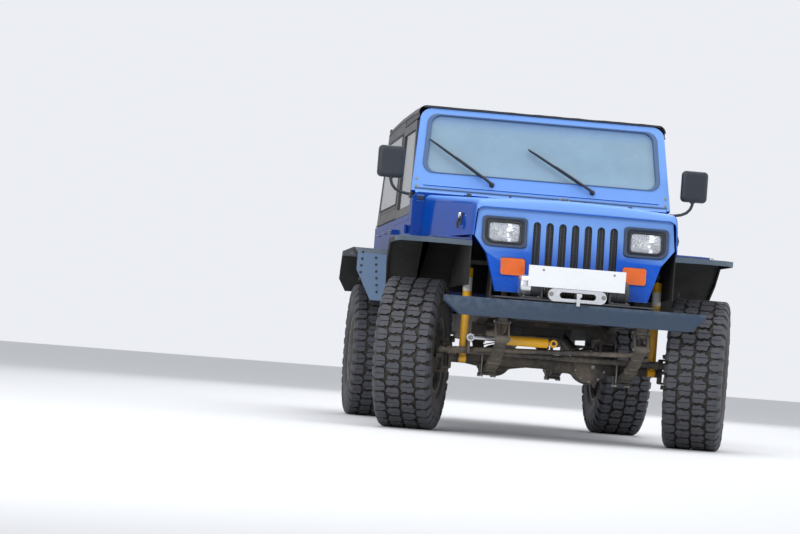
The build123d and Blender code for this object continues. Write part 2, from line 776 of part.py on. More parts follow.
def leaned(points, thickness, depth):
    # A plate on the leaning part of the grille, its outline in x and z, from its face backwards.
    base = [(face_y(grille_break_z) - thickness, grille_break_z), (face_y(grille_top_z) - thickness, grille_top_z)]
    band = base + [(y + depth, z) for y, z in reversed(base)]
    return along_x(band, -600, 600) & along_y(points, -450, -250)


def headlamp_bezels():
    # Frames with the lower outer corner cut off, one round each lamp.
    w = bezel_width / 2
    h = bezel_height / 2
    outline = [(-w, h), (w, h), (w, -h + 52), (w - 58, -h), (-w, -h)]
    frame_part = leaned([(lamp_x + x, lamp_z + z) for x, z in outline], 16, 15.8)
    frame_part -= box(lamp_x - lens_width / 2 - 2, lamp_x + lens_width / 2 + 2, -450, -250,
                      lamp_z - lens_height / 2 - 2, lamp_z + lens_height / 2 + 2)
    return both_sides(frame_part)


def headlamps():
    w = lens_width / 2
    h = lens_height / 2
    lens = leaned([(lamp_x - w, lamp_z - h), (lamp_x + w, lamp_z - h), (lamp_x + w, lamp_z + h), (lamp_x - w, lamp_z + h)],
                  6, 42)
    return both_sides(lens)


def turn_signals():
    x0 = signal_x - signal_width / 2
    z0 = signal_z - signal_height / 2
    part = box(x0, x0 + signal_width, -grille_y - 14, -grille_y, z0, z0 + signal_height)
    return both_sides(chamfer(part.edges().filter_by(Axis.Y), 9))


def hood_section(y, half, low, shoulder, crown, inset):
    # Side up to a rounded shoulder, then a shallow crown.
    plane = Plane(origin=(0, at(y), 0), x_dir=(1, 0, 0), z_dir=(0, -1, 0))
    h = half - inset
    s = h - 16
    z = shoulder - inset
    r = hood_edge_radius - inset
    right = [
        (h, low),
        (s + 5, z - 0.8 * r),
        (s - 0.22 * r, z - 0.2 * r),
        (s - 0.8 * r, z + 0.1 * crown),
        (0.5 * s, z + 0.75 * crown),
        (0.2 * s, z + 0.96 * crown),
    ]
    outline = right + [(-x, height) for x, height in reversed(right)]
    return plane * make_face(Polyline(*outline, close=True))


def hood():
    # Skin between a low narrow nose and a wide cowl, its sides turned down, with hinges and side hooks.
    y0 = -hood_front
    y1 = cowl_y - gap
    front = hood_section(y0, hood_front_half, hood_low_front_z, hood_front_z, hood_crown, 0)
    rear = hood_section(y1, hood_rear_half, hood_low_rear_z, hood_rear_z, hood_crown - 12, 0)
    skin_part = loft([front, rear], ruled=True)
    t = skin
    inner_front = hood_section(y0 + t, hood_front_half, hood_low_front_z - 30, hood_front_z, hood_crown, t)
    inner_rear = hood_section(y1 + 1, hood_rear_half, hood_low_rear_z - 30, hood_rear_z, hood_crown - 12, t)
    skin_part -= loft([inner_front, inner_rear], ruled=True)
    nose = hood_front_half - 12
    skin_part -= box(-nose, nose, y0 - 1, y0 + t + 2, hood_low_front_z - 40, hood_lip_z)
    skin_part += both_sides(box(330, 470, y1 - 40, y1, hood_rear_z - 40, hood_rear_z + 2))
    barrel = pin((345, hood_hinge_y, hood_hinge_z), (455, hood_hinge_y, hood_hinge_z), 5)
    leaf = box(345, 455, y1 - 30, hood_hinge_y, hood_hinge_z - 3, hood_hinge_z + 3)
    leaf += box(345, 455, y1 - 30, y1 - 4, hood_rear_z, hood_hinge_z + 3)
    skin_part += both_sides(barrel + leaf)
    hooks = both_sides(box(hood_front_half + 22, hood_front_half + 66, -118, -82, 1120, 1142))
    return skin_part + hooks


def front_fenders():
    # Shelf beside the hood, an apron down to the chassis, and the panel behind the wheel.
    inner = fender_inner
    plan = [
        (inner, -346),
        (700, -340),
        (flare_inner, -316),
        (flare_inner, flare_rear_y - 12),
        (inner, flare_rear_y - 12),
    ]
    shelf = along_z(plan, fender_top_z - 8, fender_top_z)
    bent = [
        (-360, fender_top_z),
        (flare_bend_y, fender_top_z - 4),
        (flare_rear_y - 12, flare_rear_z + 60),
        (flare_rear_y - 12, flare_rear_z + 46),
        (flare_bend_y - 4, fender_top_z - 13),
        (-360, fender_top_z - 9),
    ]
    part = along_x(bent, inner, flare_inner) & along_z(plan, 600, 1200)
    part += box(inner - 4, inner + 2, -340, flare_rear_y - 20, 800, fender_top_z - 2)
    part += along_z([(inner, -346), (inner + 6, -346), (inner + 6, 300), (inner, 300)], fender_top_z - 10, 1066)
    return both_sides(part)


def flare_band(points, drop):
    return points + [(y, z - drop) for y, z in reversed(points)]


def flares():
    # Dark arch flares: flat tops that run down behind the front wheels and round the rear ones.
    plan = [
        (556, -flare_front - 2),
        (748, -flare_front + 8),
        (856, -262),
        (920, -150),
        (flare_tip, -20),
        (flare_tip, 340),
        (flare_tip - 26, flare_rear_y),
        (flare_inner + 2, flare_rear_y),
        (flare_inner + 2, -318),
        (700, -342),
        (556, -346),
    ]
    line = [
        (-420, fender_top_z - 14),
        (-150, fender_top_z - 4),
        (flare_bend_y, fender_top_z - 6),
        (flare_rear_y, flare_rear_z + 36),
    ]
    solid = along_x(flare_band(line, flare_thickness), 500, 1000) & along_z(plan, 600, 1200)
    cut = [(y, z - flare_skin) for y, z in line]
    inset = [(flare_inner - 60, -300), (742, -flare_front + 18), (848, -250), (912, -144), (flare_tip - 7, -16)]
    inset += [(flare_tip - 7, 336), (flare_tip - 34, flare_rear_y + 30), (flare_inner - 60, flare_rear_y + 30)]
    hollow = along_x(flare_band(cut, 80), 500, 1000) & along_z(inset, 600, 1200)
    front = solid - hollow
    rear_plan = [
        (tub_half + 1, rear_flare_front),
        (rear_flare_half - 30, rear_flare_front),
        (rear_flare_half, rear_flare_front + 60),
        (rear_flare_half, rear_flare_rear - 70),
        (rear_flare_half - 60, rear_flare_rear),
        (tub_half + 1, rear_flare_rear),
    ]
    arch = [
        (rear_flare_front, rear_flare_low),
        (rear_flare_front, rear_flare_top - 34),
        (rear_flare_front + 44, rear_flare_top),
        (2720, rear_flare_top),
        (rear_flare_rear, 830),
        (rear_flare_rear, 790),
        (rear_flare_rear - 14, 790),
        (2712, rear_flare_top - 30),
        (rear_flare_front + 50, rear_flare_top - 30),
        (rear_flare_front + 14, rear_flare_top - 56),
        (rear_flare_front + 14, rear_flare_low),
    ]
    rear = along_x(arch, tub_half + 1, rear_flare_half) & along_z(rear_plan, 600, 1200)
    taper = [(rear_flare_half + 1, rear_flare_top - 80), (rear_flare_half + 1, 600), (tub_half + 60, 600),
             (tub_half + 116, rear_flare_low)]
    rear -= along_y(taper, rear_flare_front - 1, rear_flare_front + 40)
    return both_sides(front) + both_sides(rear)


def tub():
    # Open steel tub: floor, footwell, cowl box, sides with door and wheel openings, wheel wells, rear panel.
    h = tub_half
    side = [
        (tub_front, sill_bottom),
        (tub_front, hood_low_rear_z - 8),
        (cowl_y, hood_low_rear_z - 8),
        (cowl_y, cowl_z),
        (screen_base_y + 54, cowl_z),
        (door_front - gap, belt_z),
        (door_front - gap, sill_top),
        (door_rear - 60, sill_top),
        (door_rear + gap, sill_top + 70),
        (door_rear + gap, belt_z),
        (tub_rear, belt_z),
        (tub_rear, rear_overhang_z),
        (well_rear, rear_overhang_z),
        (well_rear - 70, well_top),
        (well_front + 70, well_top),
        (well_front, sill_bottom),
    ]
    panel = along_x(side, h - wall, h)
    shell = both_sides(panel)
    inner = h - wall
    shell += box(-inner, inner, 640, rear_floor_y, floor_z, floor_z + floor_thickness)
    shell += box(-inner, inner, rear_floor_y - 14, tub_rear, rear_floor_z - 14, rear_floor_z)
    shell += box(-inner, inner, rear_floor_y - 14, rear_floor_y, floor_z, rear_floor_z)
    foot = [
        (tub_front, 700),
        (tub_front, 780),
        (cowl_y + 2, hood_low_rear_z - 8),
        (cowl_y + 2, cowl_z),
        (cowl_y + 16, cowl_z),
        (cowl_y + 8, hood_low_rear_z - 12),
        (tub_front + 18, 774),
        (tub_front + 18, floor_z + floor_thickness),
        (660, floor_z + floor_thickness),
        (660, floor_z),
    ]
    shell += along_x(foot, -inner, inner)
    shell += box(-inner, inner, cowl_y, screen_base_y + 54, cowl_z - 14, cowl_z)
    cowl_line = [(-h, belt_z), (-h, cowl_z - 30), (-h + 30, cowl_z), (h - 30, cowl_z), (h, cowl_z - 30), (h, belt_z)]
    keep = along_y(cowl_line, tub_front - 10, screen_base_y + 60) + box(-h, h, 0, 4000, 500, belt_z)
    shell &= keep
    well = [
        (well_front, rear_floor_z - 14),
        (well_front, 940),
        (well_front + 74, well_top + 14),
        (well_rear - 74, well_top + 14),
        (well_rear, 940),
        (well_rear, rear_floor_z - 14),
    ]
    hollow = [
        (well_front + 14, rear_floor_z - 20),
        (well_front + 14, 934),
        (well_front + 80, well_top),
        (well_rear - 80, well_top),
        (well_rear - 14, 934),
        (well_rear - 14, rear_floor_z - 20),
    ]
    shell += both_sides(along_x(well, well_half_inner, inner))
    shell -= both_sides(along_x(hollow, well_half_inner + 14, inner + 1))
    shell -= both_sides(box(well_half_inner + 14, inner + 1, well_front + 14, well_rear - 14, 640, rear_floor_z))
    back = box(-inner, inner, tub_rear - wall, tub_rear, rear_floor_z - 14, belt_z)
    back -= box(-tailgate_half - gap, tailgate_half + gap, tub_rear - wall - 1, tub_rear + 1, rear_floor_z, belt_z + 1)
    shell += back
    shell += both_sides(box(h - wall - 16, h - wall, door_rear + gap, tub_rear - wall, belt_z - 16, belt_z))
    return shell


def screen_plane():
    lean = radians(screen_lean)
    return Plane(origin=(0, at(screen_base_y), screen_base_z), x_dir=(1, 0, 0), z_dir=(0, -cos(lean), sin(lean)))


def screen_plate(low_half, high_half, low, high, corner, low_corner, front, thickness):
    # A plate in the windscreen's plane, its front face this far behind the frame's front face.
    face = make_face(Polyline((-low_half, low), (low_half, low), (high_half, high), (-high_half, high), close=True))
    face = fillet(face.vertices().group_by(Axis.Y)[-1], corner)
    if low_corner:
        face = fillet(face.vertices().group_by(Axis.Y)[0], low_corner)
    plate = Pos(0, 0, -front - thickness) * extrude(face, amount=thickness)
    return screen_plane() * plate


def windscreen_frame():
    frame_part = screen_plate(screen_base_half, screen_top_half, 0, screen_height, screen_corner, 0, 0, screen_depth)
    frame_part -= screen_plate(glass_half_base, glass_half_top, glass_low, glass_high, glass_corner, glass_corner, -1,
                               screen_depth + 2)
    foot = [(screen_base_y, screen_base_z + 4), (screen_base_y + 40, screen_base_z + 16), (screen_base_y + 54, cowl_z),
            (screen_base_y - 12, cowl_z)]
    frame_part += along_x(foot, -screen_base_half + 24, screen_base_half - 24)
    return frame_part - box(-screen_base_half - 1, screen_base_half + 1, cowl_y, door_front + 60, belt_z, cowl_z)


def windscreen_glass():
    slack = 1.0
    return screen_plate(glass_half_base - slack, glass_half_top - slack, glass_low + slack, glass_high - slack,
                        glass_corner, glass_corner, 14, glass_thickness)


def wipers():
    # Two arms with blades, parked low on the glass, in the windscreen's own plane.
    plane = screen_plane()
    # Foot and tip: across, and height up the face
    places = [((-297, 70), (-659, 318)), ((302, 74), (-72, 306))]
    parts = []
    for foot, tip in places:
        parts.append(plane * Pos(foot[0], foot[1], 0) * extrude(RegularPolygon(15, bar_sides), amount=20))
        middle = Vector((foot[0] + tip[0]) / 2, (foot[1] + tip[1]) / 2, 24)
        along = Vector(tip[0] - foot[0], tip[1] - foot[1], 0)
        turn = degrees(atan(along.Y / along.X))
        parts.append(plane * Pos(middle.X, middle.Y, 16) * Rot(Z=turn) * Box(along.length, 11, 8))
        parts.append(plane * Pos(middle.X - 30, middle.Y + 20, 6) * Rot(Z=turn) * Box(along.length * 0.9, 7, 12))
    return Compound(parts)


def mirrors():
    # Mirror heads on bent tube arms from the windscreen's hinge.
    y = 930
    head = Pos(902, at(y), 1519) * Box(156, 46, 186)
    head = chamfer(head.edges().filter_by(Axis.Y), 20)
    arm = pipe([(774, y + 18, 1340), (858, y + 8, 1352), (896, y, 1388), (896, y, 1432)], 9, 22)
    return both_sides(head + arm + box(tub_half, tub_half + 12, y, y + 44, 1318, 1348))


def top_outline(inset):
    # Side view of the soft top: header on the windscreen, roof, rear curtain to the belt, door opening.
    i = inset
    header = screen_top_y + screen_depth + 8
    front = screen_top_y - 8
    low = belt_z + gap
    over_door = door_top_z + gap
    outer = [
        (front, screen_top_z + 2),
        (front, roof_front_z + 14),
        (1480, roof_high_z - 4),
        (2150, roof_high_z),
        (roof_rear_y - 60, roof_rear_z + 14),
        (roof_rear_y, roof_rear_z - 30),
        (tub_rear, low),
        (door_rear + gap, low),
        (door_rear + gap, over_door),
        (header, over_door),
        (header, screen_top_z + 2),
    ]
    if not i:
        return outer
    return [
        (header + i, roof_front_z + 16 - i),
        (1480, roof_high_z - 4 - i),
        (2150, roof_high_z - i),
        (roof_rear_y - 60 - i, roof_rear_z + 14 - i),
        (roof_rear_y - i, roof_rear_z - 30 - i),
        (tub_rear - i, low - 20),
        (door_rear - 40, low - 20),
        (door_rear - 40, over_door - 20),
        (header + i, over_door - 20),
    ]


def top_section(inset, drop):
    half = roof_half - inset
    low = tub_half - 2 - inset
    roof = roof_high_z + 12 - inset
    pts = [(-low, belt_z - drop), (low, belt_z - drop), (half, roof), (-half, roof)]
    face = make_face(Polyline(*pts, close=True))
    face = fillet(face.vertices().group_by(Axis.Y)[-1], roof_edge_radius)
    plane = Plane(origin=(0, at(3400), 0), x_dir=(1, 0, 0), z_dir=(0, -1, 0))
    return extrude(plane * face, amount=2600)


def soft_top():
    # One skin of cloth over its bows, with window openings in the sides and the rear curtain.
    outer = along_x(top_outline(0), -800, 800) & top_section(0, 0)
    cavity = along_x(top_outline(cloth), -800, 800) & top_section(cloth, 40)
    part = outer - cavity
    part -= both_sides(along_x(side_window_outline(0), 690, 820))
    part -= along_y(rear_window_outline(0), tub_rear - 260, tub_rear + 20)
    return part


def side_window_outline(grow):
    g = grow
    return [
        (door_rear + 92 - g, 1330 - g),
        (2980 + g, 1330 - g),
        (2868 + g, 1760 + g),
        (door_rear + 92 - g, 1760 + g),
    ]


def rear_window_outline(grow):
    g = grow
    return [(-560 - g, 1330 - g), (560 + g, 1330 - g), (540 + g, 1776 + g), (-540 - g, 1776 + g)]


def soft_top_windows():
    # Clear sheets that fill the openings, in the middle of the cloth's thickness.
    outer = along_x(top_outline(3), -800, 800) & top_section(3, 0)
    cavity = along_x(top_outline(6), -800, 800) & top_section(6, 40)
    sheet = outer - cavity
    sides = both_sides(along_x(side_window_outline(-0.5), 690, 820))
    rear = along_y(rear_window_outline(-0.5), tub_rear - 260, tub_rear + 20)
    return (sheet & sides) + (sheet & rear)


def upper_tilt(shape, side):
    # Leans a door's upper half inward about the belt, to meet the soft top.
    drop = degrees(atan((tub_half - 2 - roof_half) / (roof_high_z - belt_z)))
    hinge = (side * (tub_half - 2), 0, belt_z)
    return Pos(*hinge) * Rot(Y=-side * drop) * Pos(-hinge[0], -hinge[1], -hinge[2]) * shape


def upper_outline(border):
    b = border
    lean = (screen_top_y - screen_base_y) / (screen_top_z - screen_base_z)
    post = screen_base_y + screen_depth + 14
    return [
        (door_front + 2 + b, belt_z + 4 + b),
        (post + (1380 - screen_base_z) * lean + b + 8, 1380 + b * 0.3),
        (post + (door_top_z - b - screen_base_z) * lean + b, door_top_z - b),
        (door_rear - 2 - b, door_top_z - b),
        (door_rear - 2 - b, belt_z + 4 + b),
    ]


def door(side):
    # Steel half door with a rounded lower rear corner, soft upper frame, hinges, handle.
    s = side
    x1 = s * tub_half
    x0 = s * (tub_half - door_thickness)
    outline = [
        (door_front, sill_top + gap),
        (door_rear - 66, sill_top + gap),
        (door_rear, sill_top + 72),
        (door_rear, belt_z),
        (door_front, belt_z),
    ]
    part = along_x(outline, min(x0, x1), max(x0, x1))
    pocket = [
        (door_front + 40, sill_top + 50),
        (door_rear - 90, sill_top + 50),
        (door_rear - 40, sill_top + 110),
        (door_rear - 40, belt_z - 60),
        (door_front + 40, belt_z - 60),
    ]
    part -= along_x(pocket, min(x0, x0 + s * 26) - 1, max(x0, x0 + s * 26))
    for z in (sill_top + 110, belt_z - 90):
        part += box(s * (tub_half - 2), s * (tub_half + 8), door_front + 4, door_front + 120, z - 22, z + 22)
        part += pin((s * door_hinge_x, door_front + 2, z - 26), (s * door_hinge_x, door_front + 2, z + 26), 9)
    part += box(s * (tub_half - 2), s * (tub_half + 26), door_rear - 128, door_rear - 44, belt_z - 92, belt_z - 66)
    upper = along_x(upper_outline(0), s * (tub_half - 2) - (upper_thickness if s > 0 else 0),
                    s * (tub_half - 2) + (0 if s > 0 else upper_thickness))
    upper -= along_x(upper_outline(upper_border), s * tub_half - 40, s * tub_half + 40)
    part += upper_tilt(upper, s)
    part += box(s * (tub_half - 22), s * (tub_half - 8), door_front + 60, door_front + 90, belt_z - 30, belt_z + 40)
    part += box(s * (tub_half - 22), s * (tub_half - 8), door_rear - 90, door_rear - 60, belt_z - 30, belt_z + 40)
    return part


def door_window(side):
    s = side
    middle = s * (tub_half - 2 - upper_thickness / 2)
    sheet = along_x(upper_outline(upper_border + 0.5), middle - 2, middle + 2)
    return upper_tilt(sheet, s)


def tailgate():
    # Steel gate with a pressed panel, hinges on the vehicle's right, and the spare's carrier.
    t = tailgate_half
    part = box(-t, t, tub_rear - wall, tub_rear, rear_floor_z + gap, belt_z)
    part -= box(-t + 60, t - 60, tub_rear - wall - 1, tub_rear - wall + 12, rear_floor_z + 60, belt_z - 50)
    for z in (rear_floor_z + 90, belt_z - 80):
        part += box(tailgate_hinge_x, -t + 150, tub_rear + 1, tub_rear + 8, z - 26, z + 26)
        part += box(-t + 4, -t + 150, tub_rear - 2, tub_rear + 6, z - 26, z + 26)
        part += pin((tailgate_hinge_x, tub_rear + 10, z - 30), (tailgate_hinge_x, tub_rear + 10, z + 30), 9)
    part += box(-150, 150, tub_rear - 2, tub_rear + 22, spare_z - 250, belt_z - 10)
    part += box(spare_x - 64, spare_x + 64, tub_rear, tub_rear + 60, spare_z - 110, spare_z + 62)
    part += rod((spare_x, tub_rear + 56, spare_z), (spare_x, tub_rear + 118, spare_z), 60)
    part += box(t - 86, t - 30, tub_rear, tub_rear + 24, belt_z - 60, belt_z - 30)
    return part


def on_tailgate(shape):
    middle = tub_rear + spare_gap + tyre_width / 2
    return Pos(spare_x, at(middle), spare_z) * Rot(Z=90) * shape


def roll_bar():
    # Main hoop behind the seats, rear stays to the wheel wells, side bars to the windscreen.
    r = 26
    low = rear_floor_z
    hoop = [(-640, 1955, well_top + 20), (-640, 1955, 1700), (-560, 1955, 1812), (560, 1955, 1812), (640, 1955, 1700)]
    hoop.append((640, 1955, well_top + 20))
    part = pipe(hoop, r, 60)
    part += both_sides(pipe([(560, 1980, 1780), (610, 2380, 1560), (610, 2790, well_top + 34)], r, 60))
    part += both_sides(pipe([(600, 1940, 1796), (640, 1500, 1806), (640, 1200, 1790)], r, 60))
    part += rod((-640, 1216, 1790), (640, 1216, 1790), r - 4)
    part += both_sides(box(580, 700, 1900, 2010, well_top + 14, well_top + 24))
    part += both_sides(box(550, 670, 2730, 2822, well_top + 14, well_top + 24))
    return part


def seat(x, y, width, floor, back_top, lean):
    # Cushion, leaning back with side bolsters and a head restraint, on two runners.
    w = width / 2
    cushion = [(y, floor + 170), (y + 20, floor + 300), (y + 440, floor + 262), (y + 500, floor + 150), (y + 40, floor + 140)]
    part = along_x(cushion, x - w, x + w)
    back = [(y + 400, floor + 170), (y + 440 + lean, back_top), (y + 530 + lean, back_top - 6), (y + 512, floor + 160)]
    part += along_x(back, x - w + 10, x + w - 10)
    for side in (-1, 1):
        bolster = [(y + 360, floor + 200), (y + 410 + lean * 0.7, back_top - 150), (y + 450 + lean * 0.7, back_top - 150),
                   (y + 440, floor + 200)]
        x0 = x + side * (w - 8)
        part += along_x(bolster, min(x0, x0 - side * 66), max(x0, x0 - side * 66))
    for side in (-1, 1):
        runner = x + side * (w - 90)
        part += box(runner - 16, runner + 16, y + 40, y + 470, floor, floor + 160)
    return part


def seats():
    floor = floor_z + floor_thickness
    front = both_sides(seat(352, 1330, 500, floor, 1560, 110))
    rear_floor = rear_floor_z
    cushion = [(2330, rear_floor + 120), (2350, rear_floor + 250), (2740, rear_floor + 220), (2790, rear_floor + 110)]
    rear = along_x(cushion, -500, 500)
    back = [(2700, rear_floor + 200), (2800, 1500), (2870, 1494), (2800, rear_floor + 150)]
    rear += along_x(back, -490, 490)
    for x in (-380, 380):
        rear += box(x - 20, x + 20, 2400, 2740, rear_floor, rear_floor + 130)
    return front + rear


def dashboard():
    # Padded dash with an instrument hood, and the steering column with its wheel.
    line = [(screen_base_y + 56, cowl_z - 4), (1096, 1330), (1130, 1290), (1120, 1150), (1060, 1120), (cowl_y + 18, 1120),
            (cowl_y + 20, cowl_z - 16), (screen_base_y + 56, cowl_z - 16)]
    part = along_x(line, -tub_half + wall + 34, tub_half - wall - 34)
    hood_line = [(1080, 1300), (1084, 1372), (1150, 1360), (1160, 1300)]
    part += along_x(hood_line, 200, 540)
    part += rod((steering_wheel_x, 1110, 1204), (steering_wheel_x, 1300, 1270), 28)
    return part


def steering_wheel():
    axis = Vector(0, 190, 66).normalized()
    centre = (steering_wheel_x, at(1318), 1276)
    plane = Plane(origin=centre, z_dir=axis)
    t = 13.0
    r = steering_wheel_radius
    part = plane * Rot(Y=-90) * ring([(-t, r), (-t / 2, r + t), (t / 2, r + t), (t, r), (t / 2, r - t), (-t / 2, r - t)], ring_sides)
    part += plane * Pos(0, 0, -15) * extrude(RegularPolygon(52, boss_sides), amount=30)
    for turn in (0, 120, 240):
        part += plane * Rot(Z=turn + 90) * Pos(steering_wheel_radius / 2, 0, 0) * Box(steering_wheel_radius, 34, 10)
    return part


def tail_lamps():
    part = box(tub_half - 134, tub_half - 30, tub_rear + 0.4, tub_rear + 46, 880, 1060)
    return both_sides(chamfer(part.edges().filter_by(Axis.Y), 8))


def build():
    # Every piece by name
    pieces = {
        "frame": frame(),
        "crossmembers": crossmembers(),
        "axles": axles(),
        "leaf_springs": leaf_springs(),
        "shock_absorbers": shock_absorbers(),
        "engine": engine(),
        "exhaust": exhaust(),
        "fuel_tank": fuel_tank(),
        "front_bumper": front_bumper(),
        "rear_bumper": rear_bumper(),
        "winch": winch(),
        "fairlead": fairlead(),
        "number_plate": number_plate(),
        "grille": grille(),
        "headlamp_bezels": headlamp_bezels(),
        "headlamps": headlamps(),
        "turn_signals": turn_signals(),
        "hood": hood(),
        "front_fenders": front_fenders(),
        "flares": flares(),
        "tub": tub(),
        "windscreen_frame": windscreen_frame(),
        "windscreen_glass": windscreen_glass(),
        "wipers": wipers(),
        "mirrors": mirrors(),
        "soft_top": soft_top(),
        "soft_top_windows": soft_top_windows(),
        "door_left": door(1),
        "door_right": door(-1),
        "door_window_left": door_window(1),
        "door_window_right": door_window(-1),
        "tailgate": tailgate(),
        "roll_bar": roll_bar(),
        "seats": seats(),
        "dashboard": dashboard(),
        "steering_wheel": steering_wheel(),
        "tail_lamps": tail_lamps(),
        "tie_rod": tie_rod(),
        "pitman_arm": pitman_arm(),
        "damper_rod": damper_rod(),
    }
    # Wheels: name, side, place behind the front axle, and whether it steers
    wheels = [
        ("front_left", 1, 0.0, True),
        ("front_right", -1, 0.0, True),
        ("rear_left", 1, wheelbase, False),
        ("rear_right", -1, wheelbase, False),
    ]
    rubber = tyre()
    steel = rim(1)
    for name, side, y, turns in wheels:
        for kind, shape in (("tyre_", rubber), ("rim_", steel if side > 0 else other_side(steel))):
            wheel = placed_wheel(shape, side, y)
            pieces[kind + name] = steered(wheel, side) if turns else wheel
    pieces["tyre_spare"] = on_tailgate(rubber)
    pieces["rim_spare"] = on_tailgate(steel)
    pieces["knuckle_left"] = knuckle(1)
    pieces["knuckle_right"] = knuckle(-1)
    return pieces


os.makedirs("parts", exist_ok=True)
for name, piece in build().items():
    export_step(piece, "parts/" + name + ".step")
    print(name)
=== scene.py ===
import json
from math import atan2, cos, degrees, hypot, pi, radians, sin

import bmesh
import bpy
from mathutils import Matrix, Vector
from mathutils.bvhtree import BVHTree

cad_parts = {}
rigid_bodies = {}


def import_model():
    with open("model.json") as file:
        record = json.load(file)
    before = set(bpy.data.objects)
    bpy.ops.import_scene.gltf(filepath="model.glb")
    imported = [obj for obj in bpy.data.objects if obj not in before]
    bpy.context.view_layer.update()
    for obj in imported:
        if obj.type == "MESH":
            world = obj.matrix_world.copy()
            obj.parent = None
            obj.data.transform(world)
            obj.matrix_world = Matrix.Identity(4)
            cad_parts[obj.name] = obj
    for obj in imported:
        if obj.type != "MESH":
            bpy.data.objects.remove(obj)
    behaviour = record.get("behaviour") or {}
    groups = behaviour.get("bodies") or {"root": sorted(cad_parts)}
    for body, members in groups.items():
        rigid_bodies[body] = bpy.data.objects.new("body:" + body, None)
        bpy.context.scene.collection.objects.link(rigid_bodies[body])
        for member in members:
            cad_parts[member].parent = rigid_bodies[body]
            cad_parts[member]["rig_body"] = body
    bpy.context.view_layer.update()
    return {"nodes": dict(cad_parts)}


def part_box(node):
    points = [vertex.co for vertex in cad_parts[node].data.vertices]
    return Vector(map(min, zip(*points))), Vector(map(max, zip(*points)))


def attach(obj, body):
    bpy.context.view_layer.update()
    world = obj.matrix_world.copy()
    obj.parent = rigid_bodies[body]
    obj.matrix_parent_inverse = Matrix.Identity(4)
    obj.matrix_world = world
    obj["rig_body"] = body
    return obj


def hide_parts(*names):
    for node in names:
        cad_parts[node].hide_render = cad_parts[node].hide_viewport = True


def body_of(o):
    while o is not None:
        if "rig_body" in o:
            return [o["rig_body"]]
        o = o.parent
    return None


# Dressed scene of a lifted short-wheelbase 4x4. Metres, front is -Y, up is +Z.

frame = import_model()
nodes = frame["nodes"]
scene = bpy.context.scene
print("frame loaded,", len(nodes), "nodes")


# Shader maths: a Value is one socket of one surface, and sums on it add Math nodes

class Value:
    def __init__(self, surface, socket):
        self.surface = surface
        self.socket = socket

    def sum(self, operation, a, b):
        return self.surface.node("ShaderNodeMath", {"operation": operation}, {0: a, 1: b})

    def __add__(self, other):
        return self.sum("ADD", self, other)

    __radd__ = __add__

    def __sub__(self, other):
        return self.sum("SUBTRACT", self, other)

    def __rsub__(self, other):
        return self.sum("SUBTRACT", other, self)

    def __mul__(self, other):
        return self.sum("MULTIPLY", self, other)

    __rmul__ = __mul__

    def least(self, other):
        return self.sum("MINIMUM", self, other)

    def most(self, other):
        return self.sum("MAXIMUM", self, other)

    def between(self, low, high, toLow=0.0, toHigh=1.0):
        return self.surface.node(
            "ShaderNodeMapRange", {"interpolation_type": "SMOOTHSTEP"},
            {"Value": self, "From Min": low, "From Max": high, "To Min": toLow, "To Max": toHigh})


class Surface:
    def __init__(self, name):
        self.material = bpy.data.materials.new(name)
        self.material.use_nodes = True
        self.tree = self.material.node_tree
        self.tree.nodes.clear()
        self.place = self.node("ShaderNodeTexCoord", {}, {}, "Object")
        self.z = self.node("ShaderNodeSeparateXYZ", {}, {0: self.place}, 2)

    def node(self, kind, settings, sockets, out=0):
        made = self.tree.nodes.new(kind)
        for name, setting in settings.items():
            if name == "stops":
                ramp = made.color_ramp
                while len(ramp.elements) < len(setting):
                    ramp.elements.new(0.5)
                for stop, (where, shade) in zip(ramp.elements, setting):
                    stop.position = where
                    stop.color = (*shade, 1.0)
            else:
                setattr(made, name, setting)
        for name, value in sockets.items():
            socket = made.inputs[name]
            if isinstance(value, Value):
                self.tree.links.new(value.socket, socket)
            elif socket.type == "RGBA" and len(value) == 3:
                socket.default_value = (*value, 1.0)
            else:
                socket.default_value = value
        return Value(self, made.outputs[out])

    def noise(self, scale, detail=3.0, rough=0.55, place=None):
        return self.node("ShaderNodeTexNoise", {},
                         {"Vector": place or self.place, "Scale": scale, "Detail": detail, "Roughness": rough})

    def stretched(self, x, y, z):
        return self.node("ShaderNodeMapping", {}, {"Vector": self.place, "Scale": (x, y, z)})

    def cells(self, scale, feature="F1", place=None):
        return self.node("ShaderNodeTexVoronoi", {"feature": feature},
                         {"Vector": place or self.place, "Scale": scale}, "Distance")

    def facing(self, axis):
        # How far the surface looks along an axis of the object, -1 to 1
        normal = self.node("ShaderNodeTexCoord", {}, {}, "Normal")
        return self.node("ShaderNodeSeparateXYZ", {}, {0: normal}, axis)

    def mix(self, share, first, second):
        return self.node("ShaderNodeMix", {"data_type": "RGBA"}, {0: share, 6: first, 7: second}, 2)

    def bump(self, height, strength, distance, under=None):
        sockets = {"Height": height, "Strength": strength, "Distance": distance}
        if under:
            sockets["Normal"] = under
        return self.node("ShaderNodeBump", {}, sockets)

    def close(self, sockets):
        shader = self.node("ShaderNodeBsdfPrincipled", {}, sockets)
        end = self.tree.nodes.new("ShaderNodeOutputMaterial")
        self.tree.links.new(shader.socket, end.inputs["Surface"])
        return self.material


def shade(red, green, blue):
    # A colour as it looks on a screen, 0 to 255, turned to the linear light that shaders use
    def linear(v):
        v = v / 255
        return v / 12.92 if v <= 0.04045 else ((v + 0.055) / 1.055) ** 2.4
    return linear(red), linear(green), linear(blue)


dirt = {"colour": shade(128, 118, 104), "cake": shade(106, 98, 92), "rust": shade(96, 58, 36)}


def dust(surface, low, high, amount):
    # Road dirt: thick low down, thin higher up, broken by noise
    height = surface.z.between(low, high, 1.0, 0.0)
    patches = surface.noise(3.1, 6.0, 0.62).between(0.36, 0.68)
    specks = surface.noise(46.0, 4.0, 0.6).between(0.42, 0.66)
    return (height * (patches * 0.75 + specks * 0.35 + 0.1) * amount).least(1.0)


